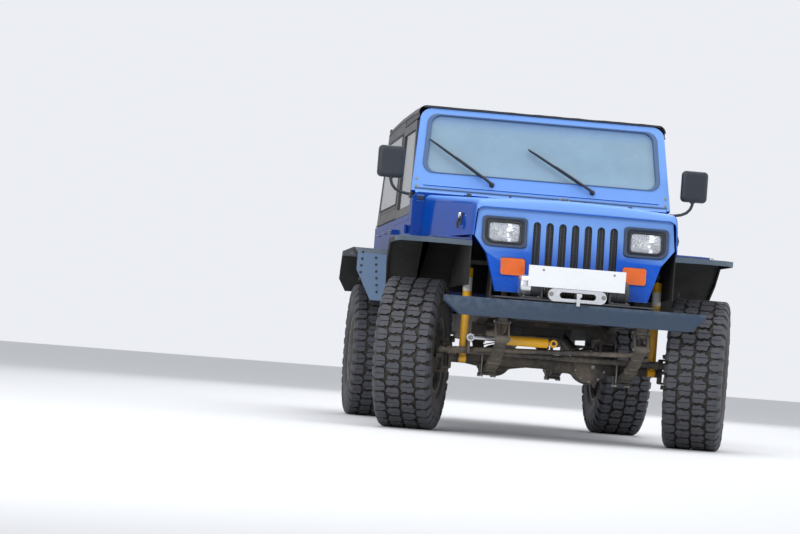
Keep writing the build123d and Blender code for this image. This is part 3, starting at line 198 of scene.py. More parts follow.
def paint(name, colour, dusty, gloss=0.22, low=0.45, high=1.25):
    s = Surface(name)
    film = dust(s, low, high, dusty)
    haze = s.noise(1.7, 5.0, 0.6).between(0.3, 0.75, 0.0, 0.05)
    # Painted light: a paler blue where it faces up is a painted reflection of the sky, and a darker colour on the
    # flanks is painted shade
    flankShadeMask = s.facing(0) * s.facing(0)
    # deep is the colour darkened on the flanks, painted shade
    deep = s.mix(flankShadeMask.between(0.5, 0.95), colour, tuple(0.7 * c for c in colour))
    skyLitAndShaded = s.mix(s.facing(2).between(0.0, 0.12) * (1.0 - flankShadeMask) * 0.66, deep, shade(146, 192, 250))
    base = s.mix((film + haze).least(1.0), skyLitAndShaded, dirt["colour"])
    ripple = s.noise(5.0, 2.0)
    grit = s.noise(420.0, 2.0)
    return s.close({
        "Base Color": base,
        "Roughness": (film * 0.5 + haze * 1.2 + gloss).least(0.9),
        "Metallic": 0.0,
        "Coat Weight": (1.0 - film * 1.4).most(0.0) * 0.26,
        "Coat Roughness": 0.08,
        "Specular IOR Level": 0.0,
        "Normal": s.bump(ripple * 0.6 + grit * film * 0.1, 0.12, 0.01),
    })


def satin(name, colour, dusty, rough=0.5, low=0.3, high=1.2, worn=0.0, edgeWearAndSheenColour=None):
    s = Surface(name)
    film = dust(s, low, high, dusty)
    base = s.mix(film, colour, dirt["colour"])
    if worn:
        # Lighter convex edges: rubbed paint on the wheel rims, and on the bumper partly a painted highlight along
        # its edges
        edge = s.node("ShaderNodeNewGeometry", {}, {}, "Pointiness")
        edgeRubAndSheen = edge.between(0.515, 0.56) * s.noise(30.0, 4.0).between(0.35, 0.6) * worn
        base = s.mix(edgeRubAndSheen.least(1.0), base, edgeWearAndSheenColour)
    grain = s.noise(600.0, 2.0)
    dents = s.noise(9.0, 3.0)
    return s.close({
        "Base Color": base,
        "Roughness": (s.noise(14.0, 4.0).between(0.3, 0.7, -0.08, 0.08) + film * 0.35 + rough).least(0.95),
        "Normal": s.bump(grain * 0.35 + dents * 0.6, 0.18, 0.004),
    })


def casting(name, colour, dusty=0.8, rough=0.6, low=0.2, high=1.0):
    s = Surface(name)
    film = dust(s, low, high, dusty)
    pits = s.noise(210.0, 4.0, 0.7)
    rust = s.noise(7.0, 6.0, 0.7).between(0.58, 0.72)
    base = s.mix(rust * 0.45, colour, dirt["rust"])
    base = s.mix(film, base, dirt["colour"])
    return s.close({
        "Base Color": base,
        "Roughness": (film * 0.3 + rough).least(0.95),
        "Metallic": 0.25,
        "Normal": s.bump(pits, 0.45, 0.003),
    })


def metal(name, colour, rough=0.3, dusty=0.2, brushed=0.0):
    s = Surface(name)
    film = dust(s, 0.3, 1.2, dusty)
    streak = s.noise(60.0, 3.0, 0.6, s.stretched(1.0, 14.0, 14.0))
    base = s.mix(film, s.mix(streak * 0.3, colour, tuple(0.75 * c for c in colour)), dirt["colour"])
    return s.close({
        "Base Color": base,
        "Roughness": (streak.between(0.3, 0.7, -0.05, 0.05 + brushed) + film * 0.5 + rough).least(0.95),
        "Metallic": (1.0 - film).most(0.0),
        "Normal": s.bump(streak, 0.08, 0.002),
    })


def rubber(name, colour, dusty):
    s = Surface(name)
    cake = s.noise(38.0, 6.0, 0.65).between(0.38, 0.66)
    flecks = s.noise(260.0, 3.0, 0.6).between(0.45, 0.7)
    film = ((cake * 0.6 + flecks * 0.3 + 0.1) * dusty).least(1.0)
    return s.close({
        "Base Color": s.mix(film, colour, dirt["cake"]),
        "Roughness": (film * 0.2 + 0.62).least(0.95),
        "Normal": s.bump(s.noise(330.0, 4.0, 0.7) * 0.5 + cake * 0.5, 0.3, 0.0015),
    })


def plastic(name, colour, rough=0.5, grain=0.25, dusty=0.25):
    s = Surface(name)
    film = dust(s, 0.5, 1.9, dusty)
    pebble = s.cells(520.0)
    return s.close({
        "Base Color": s.mix(film, colour, dirt["colour"]),
        "Roughness": (s.noise(11.0, 3.0).between(0.3, 0.7, -0.06, 0.06) + film * 0.3 + rough).least(0.95),
        "Normal": s.bump(pebble, grain, 0.0008),
    })


def lens(name, colour, rough=0.12, glow=0.0):
    s = Surface(name)
    film = dust(s, 0.3, 1.6, 0.15)
    return s.close({
        "Base Color": s.mix(film, s.mix(s.noise(9.0).between(0.3, 0.7), colour, tuple(0.8 * c for c in colour)),
                            dirt["colour"]),
        "Roughness": film * 0.4 + rough,
        "Coat Weight": 0.6,
        "Transmission Weight": 0.25,
        "Emission Color": colour,
        "Emission Strength": glow,
        "Normal": s.bump(s.cells(160.0), 0.12, 0.001),
    })


def glass(name, tint, alpha, rough=0.03):
    s = Surface(name)
    smear = s.noise(3.2, 6.0, 0.65).between(0.45, 0.75)
    return s.close({
        "Base Color": tint,
        "Roughness": smear * 0.1 + rough,
        "Alpha": smear * 0.06 + alpha,
        "IOR": 1.5,
        "Specular IOR Level": 0.8,
        "Normal": s.bump(s.noise(2.1, 2.0), 0.03, 0.01),
    })


def woven(name, colour, dusty, threads=1400.0):
    # Twill: two crossed sets of fine threads over slow waves
    s = Surface(name)
    film = dust(s, 1.2, 2.2, dusty)
    warp = s.node("ShaderNodeTexWave", {"wave_type": "BANDS", "bands_direction": "DIAGONAL"},
                  {"Vector": s.place, "Scale": threads / 6, "Distortion": 0.4, "Detail": 1.0}, 1)
    weft = s.node("ShaderNodeTexWave", {"wave_type": "BANDS", "bands_direction": "Z"},
                  {"Vector": s.place, "Scale": threads / 5, "Distortion": 0.3, "Detail": 1.0}, 1)
    worn = s.noise(2.6, 5.0, 0.6).between(0.4, 0.72, 0.0, 0.35)
    base = s.mix(worn, colour, tuple(min(1.0, 1.7 * c) for c in colour))
    return s.close({
        "Base Color": s.mix(film, base, dirt["colour"]),
        "Roughness": worn * 0.1 + 0.78,
        "Specular IOR Level": 0.3,
        "Sheen Weight": 0.15,
        "Normal": s.bump(warp * 0.5 + weft * 0.5 + s.noise(7.0, 4.0) * 2.4, 0.22, 0.0012),
    })


def screenTint(name, tint, alpha):
    # Windscreen glass: a pale blue tint with part opacity that is a painted reflection of the sky, a darker band
    # along its top, and dusty corners outside the wipers' sweep
    s = Surface(name)
    band = s.z.between(1.74, 1.81)
    smear = s.noise(3.2, 6.0, 0.65).between(0.4, 0.75)
    low = s.z.between(1.47, 1.6, 1.0, 0.0)
    return s.close({
        "Base Color": s.mix(band * 0.8, tint, shade(112, 148, 190)),
        "Roughness": smear * 0.12 + 0.03,
        "Alpha": (band * 0.34 + smear * 0.08 + low * 0.1 + alpha).least(1.0),
        "IOR": 1.5,
        "Specular IOR Level": 0.8,
        "Normal": s.bump(s.noise(2.1, 2.0), 0.03, 0.01),
    })


colours = {
    "body": shade(0, 84, 196),
    # A darker copy of the body blue for the tub, tailgate, door panels and front fenders: painted shade
    "bodyShadedBlue": shade(2, 66, 158),
    "grille": shade(0, 90, 208),
    "chassis": shade(40, 42, 46),
    "slate": shade(40, 60, 82),
    "cloth": shade(58, 60, 66),
    "yellow": shade(244, 180, 12),
    "rubber": shade(52, 50, 50),
}

# Every finish: its maker, its colour, and how dusty, rough or clear it is

looks = {
    "bodyPaint": (paint, colours["body"], 0.55),
    "bodyPaintRear": (paint, colours["bodyShadedBlue"], 0.75, 0.26),
    "fenderPaint": (paint, colours["bodyShadedBlue"], 0.9, 0.3, 0.5, 1.4),
    "chassisBlack": (satin, colours["chassis"], 0.9),
    "axleBlack": (casting, shade(48, 48, 50)),
    "springSteel": (casting, shade(60, 58, 58), 0.9, 0.5),
    "shockYellow": (satin, colours["yellow"], 0.45, 0.35, 0.3, 1.0),
    "labelWhite": (satin, shade(226, 226, 222), 0.4, 0.5, 0.3, 1.0),
    "engineIron": (casting, shade(74, 74, 76), 0.6),
    "exhaustSteel": (metal, shade(150, 132, 116), 0.5, 0.7),
    "skidBlack": (satin, shade(48, 50, 54), 0.9),
    # The bumper's pale bluish edges are partly a painted highlight
    "bumperSlate": (satin, colours["slate"], 0.06, 0.5, 0.3, 1.2, 0.2, shade(120, 134, 152)),
    "winchBlack": (satin, shade(52, 56, 62), 0.5, 0.45),
    "fairleadAlloy": (metal, shade(226, 228, 232), 0.28, 0.15),
    "plateWhite": (satin, shade(236, 238, 242), 0.15, 0.35),
    "bezelGrey": (plastic, shade(44, 64, 92), 0.45),
    "archBlack": (plastic, shade(20, 22, 25), 0.75, 0.3, 0.12),
    "flarePlate": (satin, shade(112, 138, 166), 0.15, 0.5, 0.3, 1.2),
    "flareTop": (satin, shade(84, 112, 142), 0.12, 0.6, 0.3, 1.2),
    "lampGlass": (glass, shade(236, 242, 248), 0.35),
    "amberLens": (lens, shade(252, 116, 0), 0.2, 0.12),
    "redLens": (lens, shade(190, 22, 26), 0.15, 0.05),
    "flareBlack": (plastic, shade(68, 86, 104), 0.5, 0.35, 0.15),
    # The windscreen's pale blue tint is a painted reflection of the sky
    "screenGlass": (screenTint, shade(164, 196, 216), 0.52),
    # Door windows darkened and made more opaque: painted shade of the cab behind them
    "sideGlass": (glass, shade(82, 90, 98), 0.66),
    "vinylGlass": (glass, shade(88, 92, 100), 0.74, 0.12),
    "mirrorBlack": (plastic, shade(34, 42, 52), 0.5),
    "topCloth": (woven, colours["cloth"], 0.35),
    "rollBarBlack": (satin, shade(40, 42, 46), 0.2, 0.5),
    "seatCloth": (woven, shade(74, 77, 84), 0.1, 900.0),
    "dashBlack": (plastic, shade(46, 48, 52), 0.6, 0.4),
    "tyreRubber": (satin, colours["rubber"], 0.9, 0.8, 0.0, 1.4),
    # One tyre rubber in several colours: the lighter blue-grey block tops are partly a painted highlight, and the
    # darker grooves are painted shade
    "treadGap": (rubber, shade(26, 23, 22), 0.35),
    "treadWall": (rubber, shade(36, 36, 40), 0.35),
    "treadFace": (rubber, shade(62, 66, 75), 0.36),
    "sideWall": (rubber, shade(42, 43, 48), 0.4),
    "rimBlack": (satin, shade(50, 51, 55), 0.6, 0.42, 0.0, 1.4, 0.5, shade(120, 118, 114)),
    "hubSteel": (metal, shade(168, 166, 162), 0.4, 0.5),
    "boltSteel": (metal, shade(150, 150, 150), 0.4, 0.4),
    "grillePaint": (paint, colours["grille"], 0.35),
    "coreGrey": (metal, shade(112, 114, 118), 0.5, 0.3),
    "reflector": (metal, shade(232, 234, 238), 0.14, 0.05),
    "bulbGlass": (lens, shade(236, 236, 228), 0.1),
    "headGlass": (glass, shade(222, 228, 234), 0.3, 0.06),
    "seatPiping": (satin, shade(38, 40, 44), 0.1, 0.6),
    "gaugeFace": (satin, shade(18, 19, 22), 0.05, 0.4),
    "wheelHide": (plastic, shade(38, 39, 43), 0.55, 0.5, 0.1),
    "linerGrey": (satin, shade(34, 40, 48), 0.2, 0.75, 0.6, 1.6),
    "topBinding": (satin, shade(44, 46, 50), 0.2, 0.7),
    "zipSteel": (metal, shade(120, 122, 126), 0.45, 0.2),
    "sealRubber": (plastic, shade(78, 104, 140), 0.6, 0.2, 0.1),
    "mirrorGlass": (metal, shade(225, 230, 235), 0.04, 0.03),
    "ropeSteel": (metal, shade(150, 146, 138), 0.42, 0.4),
}
finish = {name: maker(name, *values) for name, (maker, *values) in looks.items()}
print("finishes made,", len(finish))

# Which finish each node of the frame wears: the glass shows it, and any node would whose piece is taken away

dressing = {
    "bodyPaint": ["hood", "grille", "windscreen_frame", "door_left", "door_right"],
    "bodyPaintRear": ["tub", "tailgate"],
    "fenderPaint": ["front_fenders"],
    "chassisBlack": ["frame", "crossmembers", "rear_bumper", "pitman_arm", "tie_rod", "fuel_tank"],
    "axleBlack": ["axles", "knuckle_left", "knuckle_right"],
    "springSteel": ["leaf_springs"],
    "shockYellow": ["shock_absorbers"],
    "fairleadAlloy": ["fairlead", "damper_rod"],
    "engineIron": ["engine"],
    "exhaustSteel": ["exhaust"],
    "bumperSlate": ["front_bumper"],
    "winchBlack": ["winch"],
    "plateWhite": ["number_plate"],
    "bezelGrey": ["headlamp_bezels"],
    "lampGlass": ["headlamps"],
    "amberLens": ["turn_signals"],
    "redLens": ["tail_lamps"],
    "flareBlack": ["flares"],
    "screenGlass": ["windscreen_glass"],
    "sideGlass": ["door_window_left", "door_window_right"],
    "vinylGlass": ["soft_top_windows"],
    "mirrorBlack": ["mirrors", "wipers", "steering_wheel"],
    "topCloth": ["soft_top"],
    "rollBarBlack": ["roll_bar"],
    "seatCloth": ["seats"],
    "dashBlack": ["dashboard"],
    "tyreRubber": [n for n in nodes if n.startswith("tyre_")],
    "rimBlack": [n for n in nodes if n.startswith("rim_")],
}


def wear(node, material):
    mesh = nodes[node].data
    mesh.materials.clear()
    mesh.materials.append(material)


for finishName, wearers in dressing.items():
    for wearer in wearers:
        wear(wearer, finish[finishName])
print("frame dressed")


# A Work collects the points and faces of one piece, with a finish number for each face

class Work:
    def __init__(self):
        self.points = []
        self.faces = []
        self.slots = []

    def add(self, points, faces, slot=0):
        first = len(self.points)
        self.points += [Vector(p) for p in points]
        self.faces += [[first + i for i in face] for face in faces]
        self.slots += [slot] * len(faces)

    def loft(self, rings, slot=0, closed=True, capStart=True, capEnd=True):
        # Skins a row of rings that have the same number of points
        count = len(rings[0])
        faces = []
        for r in range(len(rings) - 1):
            for i in range(count if closed else count - 1):
                j = (i + 1) % count
                faces.append([r * count + i, r * count + j, (r + 1) * count + j, (r + 1) * count + i])
        if capStart:
            faces.append(list(reversed(range(count))))
        if capEnd:
            faces.append([(len(rings) - 1) * count + i for i in range(count)])
        self.add([p for ring in rings for p in ring], faces, slot)

    def turned(self, profile, centre, axis, steps=32, slot=0, caps=True):
        # Lathe work: profile is (distance along the axis, radius)
        axis = Vector(axis).normalized()
        side = axis.orthogonal().normalized()
        other = axis.cross(side)
        rings = []
        for along, radius in profile:
            middle = Vector(centre) + axis * along
            rings.append([middle + (side * cos(t) + other * sin(t)) * radius
                          for t in (2 * pi * k / steps for k in range(steps))])
        self.loft(rings, slot, True, caps, caps)

    def tube(self, path, radius, sides=12, slot=0):
        # A round bar along a row of points
        path = [Vector(p) for p in path]
        lift = None
        rings = []
        for i, here in enumerate(path):
            ahead = (path[min(i + 1, len(path) - 1)] - path[max(i - 1, 0)]).normalized()
            lift = ahead.orthogonal().normalized() if lift is None else (lift
                                                                         - ahead * lift.dot(ahead)).normalized()
            other = ahead.cross(lift)
            r = radius[i] if isinstance(radius, (list, tuple)) else radius
            rings.append([here + (lift * cos(t) + other * sin(t)) * r
                          for t in (2 * pi * k / sides for k in range(sides))])
        self.loft(rings, slot)

    def block(self, centre, size, edge=0.003, slot=0, turn=None, steps=2):
        # A box with rounded edges
        cube = bmesh.new()
        bmesh.ops.create_cube(cube, size=1.0)
        bmesh.ops.scale(cube, vec=Vector(size), verts=cube.verts)
        if edge:
            bmesh.ops.bevel(cube, geom=cube.edges[:], offset=edge, segments=steps, affect="EDGES", profile=0.5)
        place = Matrix.Translation(centre) @ (turn.to_4x4() if turn else Matrix())
        self.add([place @ v.co for v in cube.verts], [[v.index for v in f.verts] for f in cube.faces], slot)
        cube.free()

    def bolt(self, place, toward, radius=0.008, height=0.006, slot=0, washer=True, sides=6):
        if washer:
            self.turned([(0.0, radius * 1.55), (height * 0.25, radius * 1.5), (height * 0.25, radius * 0.6)],
                        place, toward, 16, slot)
        self.turned([(0.0, radius), (height * 0.85, radius), (height, radius * 0.86)], place, toward, sides, slot)

    def outward(self, mesh, each=None):
        # Fills a mesh with the work, every face looking outward; each is given the faces before they are kept
        mesh.from_pydata(self.points, [], self.faces)
        for polygon, slot in zip(mesh.polygons, self.slots):
            polygon.material_index = slot
        clean = bmesh.new()
        clean.from_mesh(mesh)
        bmesh.ops.recalc_face_normals(clean, faces=clean.faces)
        if each:
            each(clean)
        clean.to_mesh(mesh)
        clean.free()
        return mesh

    def repaint(self, choose):
        # A finish for each face from its centre and the way it looks
        def paintFaces(clean):
            self.slots = [choose(face.calc_center_median(), face.normal) for face in clean.faces]
        bpy.data.meshes.remove(self.outward(bpy.data.meshes.new("repaint"), paintFaces))

    def moved(self, matrix):
        for i, p in enumerate(self.points):
            self.points[i] = matrix @ p
        return self

    def dress(self, name, finishes, node, sharp=35.0):
        # The piece that takes the place of one node of the frame
        return self.make(name, finishes, rideOf(node), [node], sharp)

    def make(self, name, finishes, body, replacing=(), sharp=35.0):
        mesh = bpy.data.meshes.new(name)
        for f in finishes:
            mesh.materials.append(finish[f])

        def smoothFaces(clean):
            for edge in clean.edges:
                edge.smooth = len(edge.link_faces) == 2 and degrees(edge.calc_face_angle(0.0)) < sharp
            for face in clean.faces:
                face.smooth = True
        self.outward(mesh, smoothFaces)
        made = bpy.data.objects.new(name, mesh)
        scene.collection.objects.link(made)
        # Large faces keep their own normal, so flat panels shade flat beside rounded edges
        even = made.modifiers.new("even", "WEIGHTED_NORMAL")
        even.keep_sharp = True
        if replacing:
            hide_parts(*replacing)
        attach(made, body)
        return made


def rideOf(node):
    return body_of(nodes[node])[0]


def turnedAbout(axis, angle):
    return Matrix.Rotation(angle, 3, axis)


def middle(node):
    low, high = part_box(node)
    return (Vector(low) + Vector(high)) / 2


# Tyres: a lathe-turned carcass with four staggered rows of tread blocks and lugs down the shoulders

tyre = {
    "outer": 0.4135,
    "base": 0.3975,
    "pitches": 36,
    "sipe": 0.0014,
    "steps": 176,
    # carcass, (across, radius), from the bead to the tread
    "side": [(0.122, 0.197), (0.131, 0.203), (0.136, 0.214), (0.1385, 0.232), (0.1475, 0.244), (0.1525, 0.262),
             (0.1565, 0.28), (0.158, 0.298), (0.1575, 0.318), (0.1555, 0.322), (0.155, 0.33), (0.1565, 0.334),
             (0.153, 0.352), (0.144, 0.374), (0.138, 0.39), (0.133, 0.3975)],
    # block outlines, (across, share of a pitch)
    "centreBlock": [(0.004, -0.26), (0.018, -0.46), (0.047, -0.37), (0.06, -0.45), (0.079, -0.2), (0.074, 0.16),
                    (0.058, 0.3), (0.052, 0.46), (0.026, 0.34), (0.012, 0.43), (0.005, 0.18)],
    "centreOdd": [(0.006, -0.34), (0.03, -0.44), (0.038, -0.34), (0.064, -0.44), (0.072, -0.1), (0.08, 0.1),
                  (0.072, 0.38), (0.046, 0.44), (0.038, 0.32), (0.01, 0.4), (0.002, 0.06)],
    "shoulderBlock": [(0.084, -0.1), (0.088, -0.4), (0.108, -0.46), (0.137, -0.42), (0.137, 0.38), (0.118, 0.46),
                      (0.102, 0.36), (0.088, 0.42), (0.083, 0.16)],
    "shoulderOdd": [(0.086, -0.3), (0.1, -0.36), (0.112, -0.46), (0.137, -0.4), (0.137, 0.42), (0.106, 0.44),
                    (0.092, 0.3), (0.085, 0.34), (0.08, 0.0)],
    "shoulderStart": 0.5,
    # half widths of a lug as shares of a pitch, from its crest down, and where long and short lugs end
    "lugWidths": (0.33, 0.31, 0.28, 0.25, 0.2), "lugFeet": (0.362, 0.338),
    "ribs": ((0.246, 0.1476), (0.296, 0.1578), (0.312, 0.1578)),
    # name of the wheel, the body it rides on, and its turn about the upright, in degrees
    "stances": [("front_left", "wheel_front_left", -15.0), ("front_right", "wheel_front_right", 165.0),
                ("rear_left", "wheel_rear_left", 0.0), ("rear_right", "wheel_rear_right", 180.0),
                ("spare", "tailgate", 90.0)],
}


def onRing(across, turn, radius):
    return Vector((across, radius * sin(turn), radius * cos(turn)))


def treadBlock(work, outline, turn, side, outer):
    # One block: straight walls from the base, then a small chamfer to its worn face
    pitch = 2 * pi / tyre["pitches"]
    centre = [sum(p[k] for p in outline) / len(outline) for k in (0, 1)]
    rings = []
    for radius, share in ((tyre["base"] - 0.002, 1.04), (outer - 0.0025, 1.0), (outer, 0.93)):
        ring = []
        for across, along in outline:
            a = centre[0] + (across - centre[0]) * share
            v = centre[1] + (along - centre[1]) * share
            ring.append(onRing(side * a, turn + v * pitch, radius))
        rings.append(ring)
    work.loft(rings, 1, True, False, False)
    work.add(rings[2], [list(range(len(outline)))], 2)


def splitBlock(outline, cut):
    # Parts a block outline at one place around the tyre, leaving a sipe
    gap = tyre["sipe"] / (2 * pi * tyre["outer"] / tyre["pitches"]) / 2
    halves = []
    for sign in (-1, 1):
        edge = cut + sign * gap
        kept = []
        for i, here in enumerate(outline):
            there = outline[(i + 1) % len(outline)]
            if sign * (here[1] - edge) >= 0:
                kept.append(here)
            if (here[1] - edge) * (there[1] - edge) < 0:
                share = (edge - here[1]) / (there[1] - here[1])
                kept.append((here[0] + share * (there[0] - here[0]), edge))
        halves.append(kept)
    return halves


def shoulderLug(work, turn, side, long):
    # A lug that runs over the shoulder and down the side wall
    foot = tyre["lugFeet"][long]
    crest = [(0.134, tyre["outer"] - 0.001), (0.1465, 0.404), (0.156, 0.384), (0.1585, foot + 0.01), (0.1585, foot)]
    rings = []
    for (across, radius), share in zip(crest, tyre["lugWidths"]):
        half = share * (2 * pi / tyre["pitches"])
        rings.append([onRing(side * (across - sunk), turn + part * half, radius - deep)
                      for part, sunk, deep in ((-1.1, 0.016, 0.01), (-1, 0, 0), (1, 0, 0), (1.1, 0.016, 0.01))])
    work.loft(rings, 2)


def tyreWork():
    work = Work()
    side = tyre["side"]
    profile = side + [(0.066, 0.3982), (0.0, 0.3985), (-0.066, 0.3982)] + [(-a, r) for a, r in reversed(side)]
    slots = [3 if radius < 0.36 else 0 for across, radius in profile]
    steps = tyre["steps"]
    for k in range(len(profile) - 1):
        rings = [[onRing(a, 2 * pi * i / steps, r) for i in range(steps)] for a, r in profile[k:k + 2]]
        work.loft(rings, slots[k] if slots[k] == slots[k + 1] else 0, True, False, False)
    for i in range(tyre["pitches"]):
        for side in (-1, 1):
            turn = 2 * pi * (i + (0.25 if side > 0 else 0.75)) / tyre["pitches"]
            odd = i % 2
            for half in splitBlock(tyre["centreOdd" if odd else "centreBlock"], -0.04 if odd else 0.05):
                treadBlock(work, half, turn, side, tyre["outer"])
            late = turn + tyre["shoulderStart"] * 2 * pi / tyre["pitches"]
            for half in splitBlock(tyre["shoulderOdd" if odd else "shoulderBlock"], 0.04 if odd else -0.03):
                treadBlock(work, half, late, side, tyre["outer"] - 0.001)
            shoulderLug(work, late, side, not odd)
    # Fine ribs around each side wall
    for side in (-1, 1):
        for radius, across in tyre["ribs"]:
            ring = [(side * (across - 0.004), radius - 0.002), (side * (across + 0.001), radius - 0.0012),
                    (side * (across + 0.001), radius + 0.0012), (side * (across - 0.004), radius + 0.002)]
            rows = [[onRing(a, 2 * pi * k / steps, r) for a, r in ring] for k in range(steps)]
            work.loft(rows + rows[:1], 3, True, False, False)
    return work


def makeTyres():
    for name, body, spin in tyre["stances"]:
        node = "tyre_" + name
        stand = Matrix.Translation(middle(node)) @ Matrix.Rotation(radians(spin), 4, "Z")
        tyreWork().moved(stand).make(
            "tyre.detail." + name, ["treadGap", "treadWall", "treadFace", "sideWall"], body, [node])


makeTyres()
print("tyres made")


# Places shared by several pieces, measured back from the front axle and up from the floor

place = {"wheelbase": 2.373, "rearHub": middle("rim_rear_left")}


def at(back):
    return place["rearHub"].y - place["wheelbase"] + back


def spots(line, side=1):
    # Points given as (across, back, up), on one side or the other
    return [Vector((side * x, at(y), z)) for x, y, z in line]


def evaluated(shape):
    # The mesh of an object with its modifiers done, as a new Work, and the object is dropped
    graph = bpy.context.evaluated_depsgraph_get()
    mesh = bpy.data.meshes.new_from_object(shape.evaluated_get(graph))
    work = Work()
    work.points = [v.co.copy() for v in mesh.vertices]
    work.faces = [list(f.vertices) for f in mesh.polygons]
    work.slots = [f.material_index for f in mesh.polygons]
    bpy.data.objects.remove(shape)
    return work


def rough(work):
    # A bare object from a Work, for modifiers
    shape = bpy.data.objects.new("rough", work.outward(bpy.data.meshes.new("rough")))
    scene.collection.objects.link(shape)
    return shape


def carved(work, cutter):
    body = rough(work)
    tool = rough(cutter)
    cut = body.modifiers.new("cut", "BOOLEAN")
    cut.operation = "DIFFERENCE"
    cut.solver = "EXACT"
    cut.object = tool
    bpy.context.view_layer.update()
    done = evaluated(body)
    bpy.data.objects.remove(tool)
    return done


# Wheels: pressed steel with a dropped centre, eight windows, nuts and a hub

wheel = {
    "barrel": [(-0.137, 0.2105), (-0.139, 0.207), (-0.137, 0.199), (-0.122, 0.193), (-0.105, 0.19), (-0.085, 0.17),
               (0.052, 0.17), (0.078, 0.19), (0.122, 0.193), (0.137, 0.199), (0.139, 0.207), (0.137, 0.2105),
               (0.131, 0.204), (0.127, 0.19), (0.116, 0.186), (0.076, 0.184), (0.05, 0.163), (-0.083, 0.163),
               (-0.107, 0.184), (-0.118, 0.186), (-0.127, 0.19), (-0.131, 0.204)],
    "disc": [(0.05, 0.165), (0.07, 0.163), (0.086, 0.152), (0.0935, 0.134), (0.0925, 0.118), (0.083, 0.1),
             (0.0745, 0.09), (0.0735, 0.03), (0.068, 0.03), (0.069, 0.093), (0.078, 0.104), (0.0865, 0.121),
             (0.0875, 0.133), (0.081, 0.148), (0.068, 0.158), (0.05, 0.16)],
    "windows": 8,
    "nuts": 5,
    "nutCircle": 0.057,
}


def ringOf(work, profile, steps=72, slot=0):
    # A closed ring about the X axis
    rows = [[onRing(a, 2 * pi * k / steps, r) for a, r in profile] for k in range(steps)]
    work.loft(rows + rows[:1], slot, True, False, False)


def rimWork(locking):
    disc = Work()
    ringOf(disc, wheel["disc"])
    tools = Work()
    for i in range(wheel["windows"]):
        turn = 2 * pi * (i + 0.5) / wheel["windows"]
        outline = []
        for k in range(20):
            t = 2 * pi * k / 20
            # A rounded oblong, wider at its outer edge
            across = 0.0255 * abs(cos(t)) ** 0.6 * (1 if cos(t) > 0 else -1)
            up = 0.0125 * abs(sin(t)) ** 0.6 * (1 if sin(t) > 0 else -1)
            outline.append((across * (1 + up * 6), 0.1385 + up))
        rings = []
        for x in (0.03, 0.13):
            rings.append([Vector((x, a * cos(turn) + r * sin(turn), -a * sin(turn) + r * cos(turn))) for a,
                          r in outline])
        tools.loft(rings)
    work = carved(disc, tools)
    ringOf(work, wheel["barrel"])
    for i in range(wheel["nuts"]):
        turn = 2 * pi * i / wheel["nuts"]
        nutSeat = onRing(0.0735, turn, wheel["nutCircle"])
        work.turned([(0.0, 0.016), (0.004, 0.0145), (0.004, 0.012)], nutSeat, (1, 0, 0), 20)
        work.turned([(0.002, 0.0105), (0.018, 0.0105), (0.021, 0.008), (0.0225, 0.004)], nutSeat, (1, 0, 0), 6, 1)
    hub = [(0.036, 0.036), (0.078, 0.036), (0.08, 0.0375), (0.1, 0.0355), (0.102, 0.03), (0.1085, 0.029)]
    work.turned(hub, (0, 0, 0), (1, 0, 0), 36, 1 if locking else 0)
    if locking:
        # Dial of the free-wheeling hub
        work.turned([(0.1085, 0.0285), (0.1095, 0.0275), (0.1095, 0.008)], (0, 0, 0), (1, 0, 0), 36, 2)
        work.block((0.1125, 0, 0), (0.007, 0.044, 0.011), 0.002, 1)
        for i in range(6):
            work.bolt(onRing(0.1015, 2 * pi * i / 6, 0.0322), (1, 0, 0), 0.0026, 0.002, 2, False)
    else:
        work.turned([(0.1085, 0.024), (0.1105, 0.02), (0.1105, 0.004)], (0, 0, 0), (1, 0, 0), 30, 0)
    # Valve stem
    stem = onRing(0.06, 0.62, 0.171)
    work.turned([(0.0, 0.0045), (0.018, 0.004), (0.02, 0.0032), (0.032, 0.003)], stem, (0.9, 0, 0.35), 10, 2)
    return work


def makeRims():
    free = rimWork(True)
    plain = rimWork(False)
    for name, body, spin in tyre["stances"]:
        source = free if name.startswith("front") else plain
        one = Work()
        one.add(source.points, source.faces)
        one.slots = list(source.slots)
        stand = Matrix.Translation(middle("tyre_" + name)) @ Matrix.Rotation(radians(spin), 4, "Z")
        one.moved(stand).make(
            "rim.detail." + name, ["rimBlack", "hubSteel", "mirrorBlack"], body, ["rim_" + name])


makeRims()
print("rims made")


# Hood: one smooth skin with rolled edges, hinges, side catches, rubber stops and nozzles

hood = {
    "front": -0.374, "rear": 0.866,
    "half": (0.561, 0.704), "low": (1.071, 1.086), "shoulder": (1.261, 1.338), "crown": (0.026, 0.012),
    "radius": 0.034, "nose": 0.03, "skin": 0.005,
    "catch": (-0.1, 1.15), "ribs": (-0.3, 0.0, 0.3), "hinge": (0.4, 0.845, 1.3515),
    "hingeBolts": (-0.05, 0.0, 0.05),
    "stop": (0.47, 0.62, 1.333), "nozzle": (0.22, 0.7, 1.35),
    "loop": [(-0.026, 0.1, 1.318), (-0.022, 0.1, 1.33), (0.0, 0.1, 1.334), (0.022, 0.1, 1.33), (0.026, 0.1, 1.318)],
}


def between(pair, share):
    return pair[0] + (pair[1] - pair[0]) * share


def hoodSection(share):
    # The skin across the hood at one share of its length, (across, up), from one edge to the other
    half = between(hood["half"], share)
    low = between(hood["low"], share)
    high = between(hood["shoulder"], share)
    crown = between(hood["crown"], share)
    r = hood["radius"]
    flat = half - 0.012
    right = [(half, low), (half - 0.002, low + 0.02), (half - 0.004, low + 0.06), (half - 0.008, high - 0.07)]
    for k in range(7):
        t = radians(4 + 84 * k / 6)
        right.append((flat - r + r * cos(t), high - r + r * sin(t)))
    inner = flat - r
    for k in range(1, 12):
        x = inner * (1 - k / 12)
        right.append((x, high + crown * (1 - (x / inner) ** 2)))
    return right + [(0.0, high + crown)] + [(-x, z) for x, z in reversed(right)]


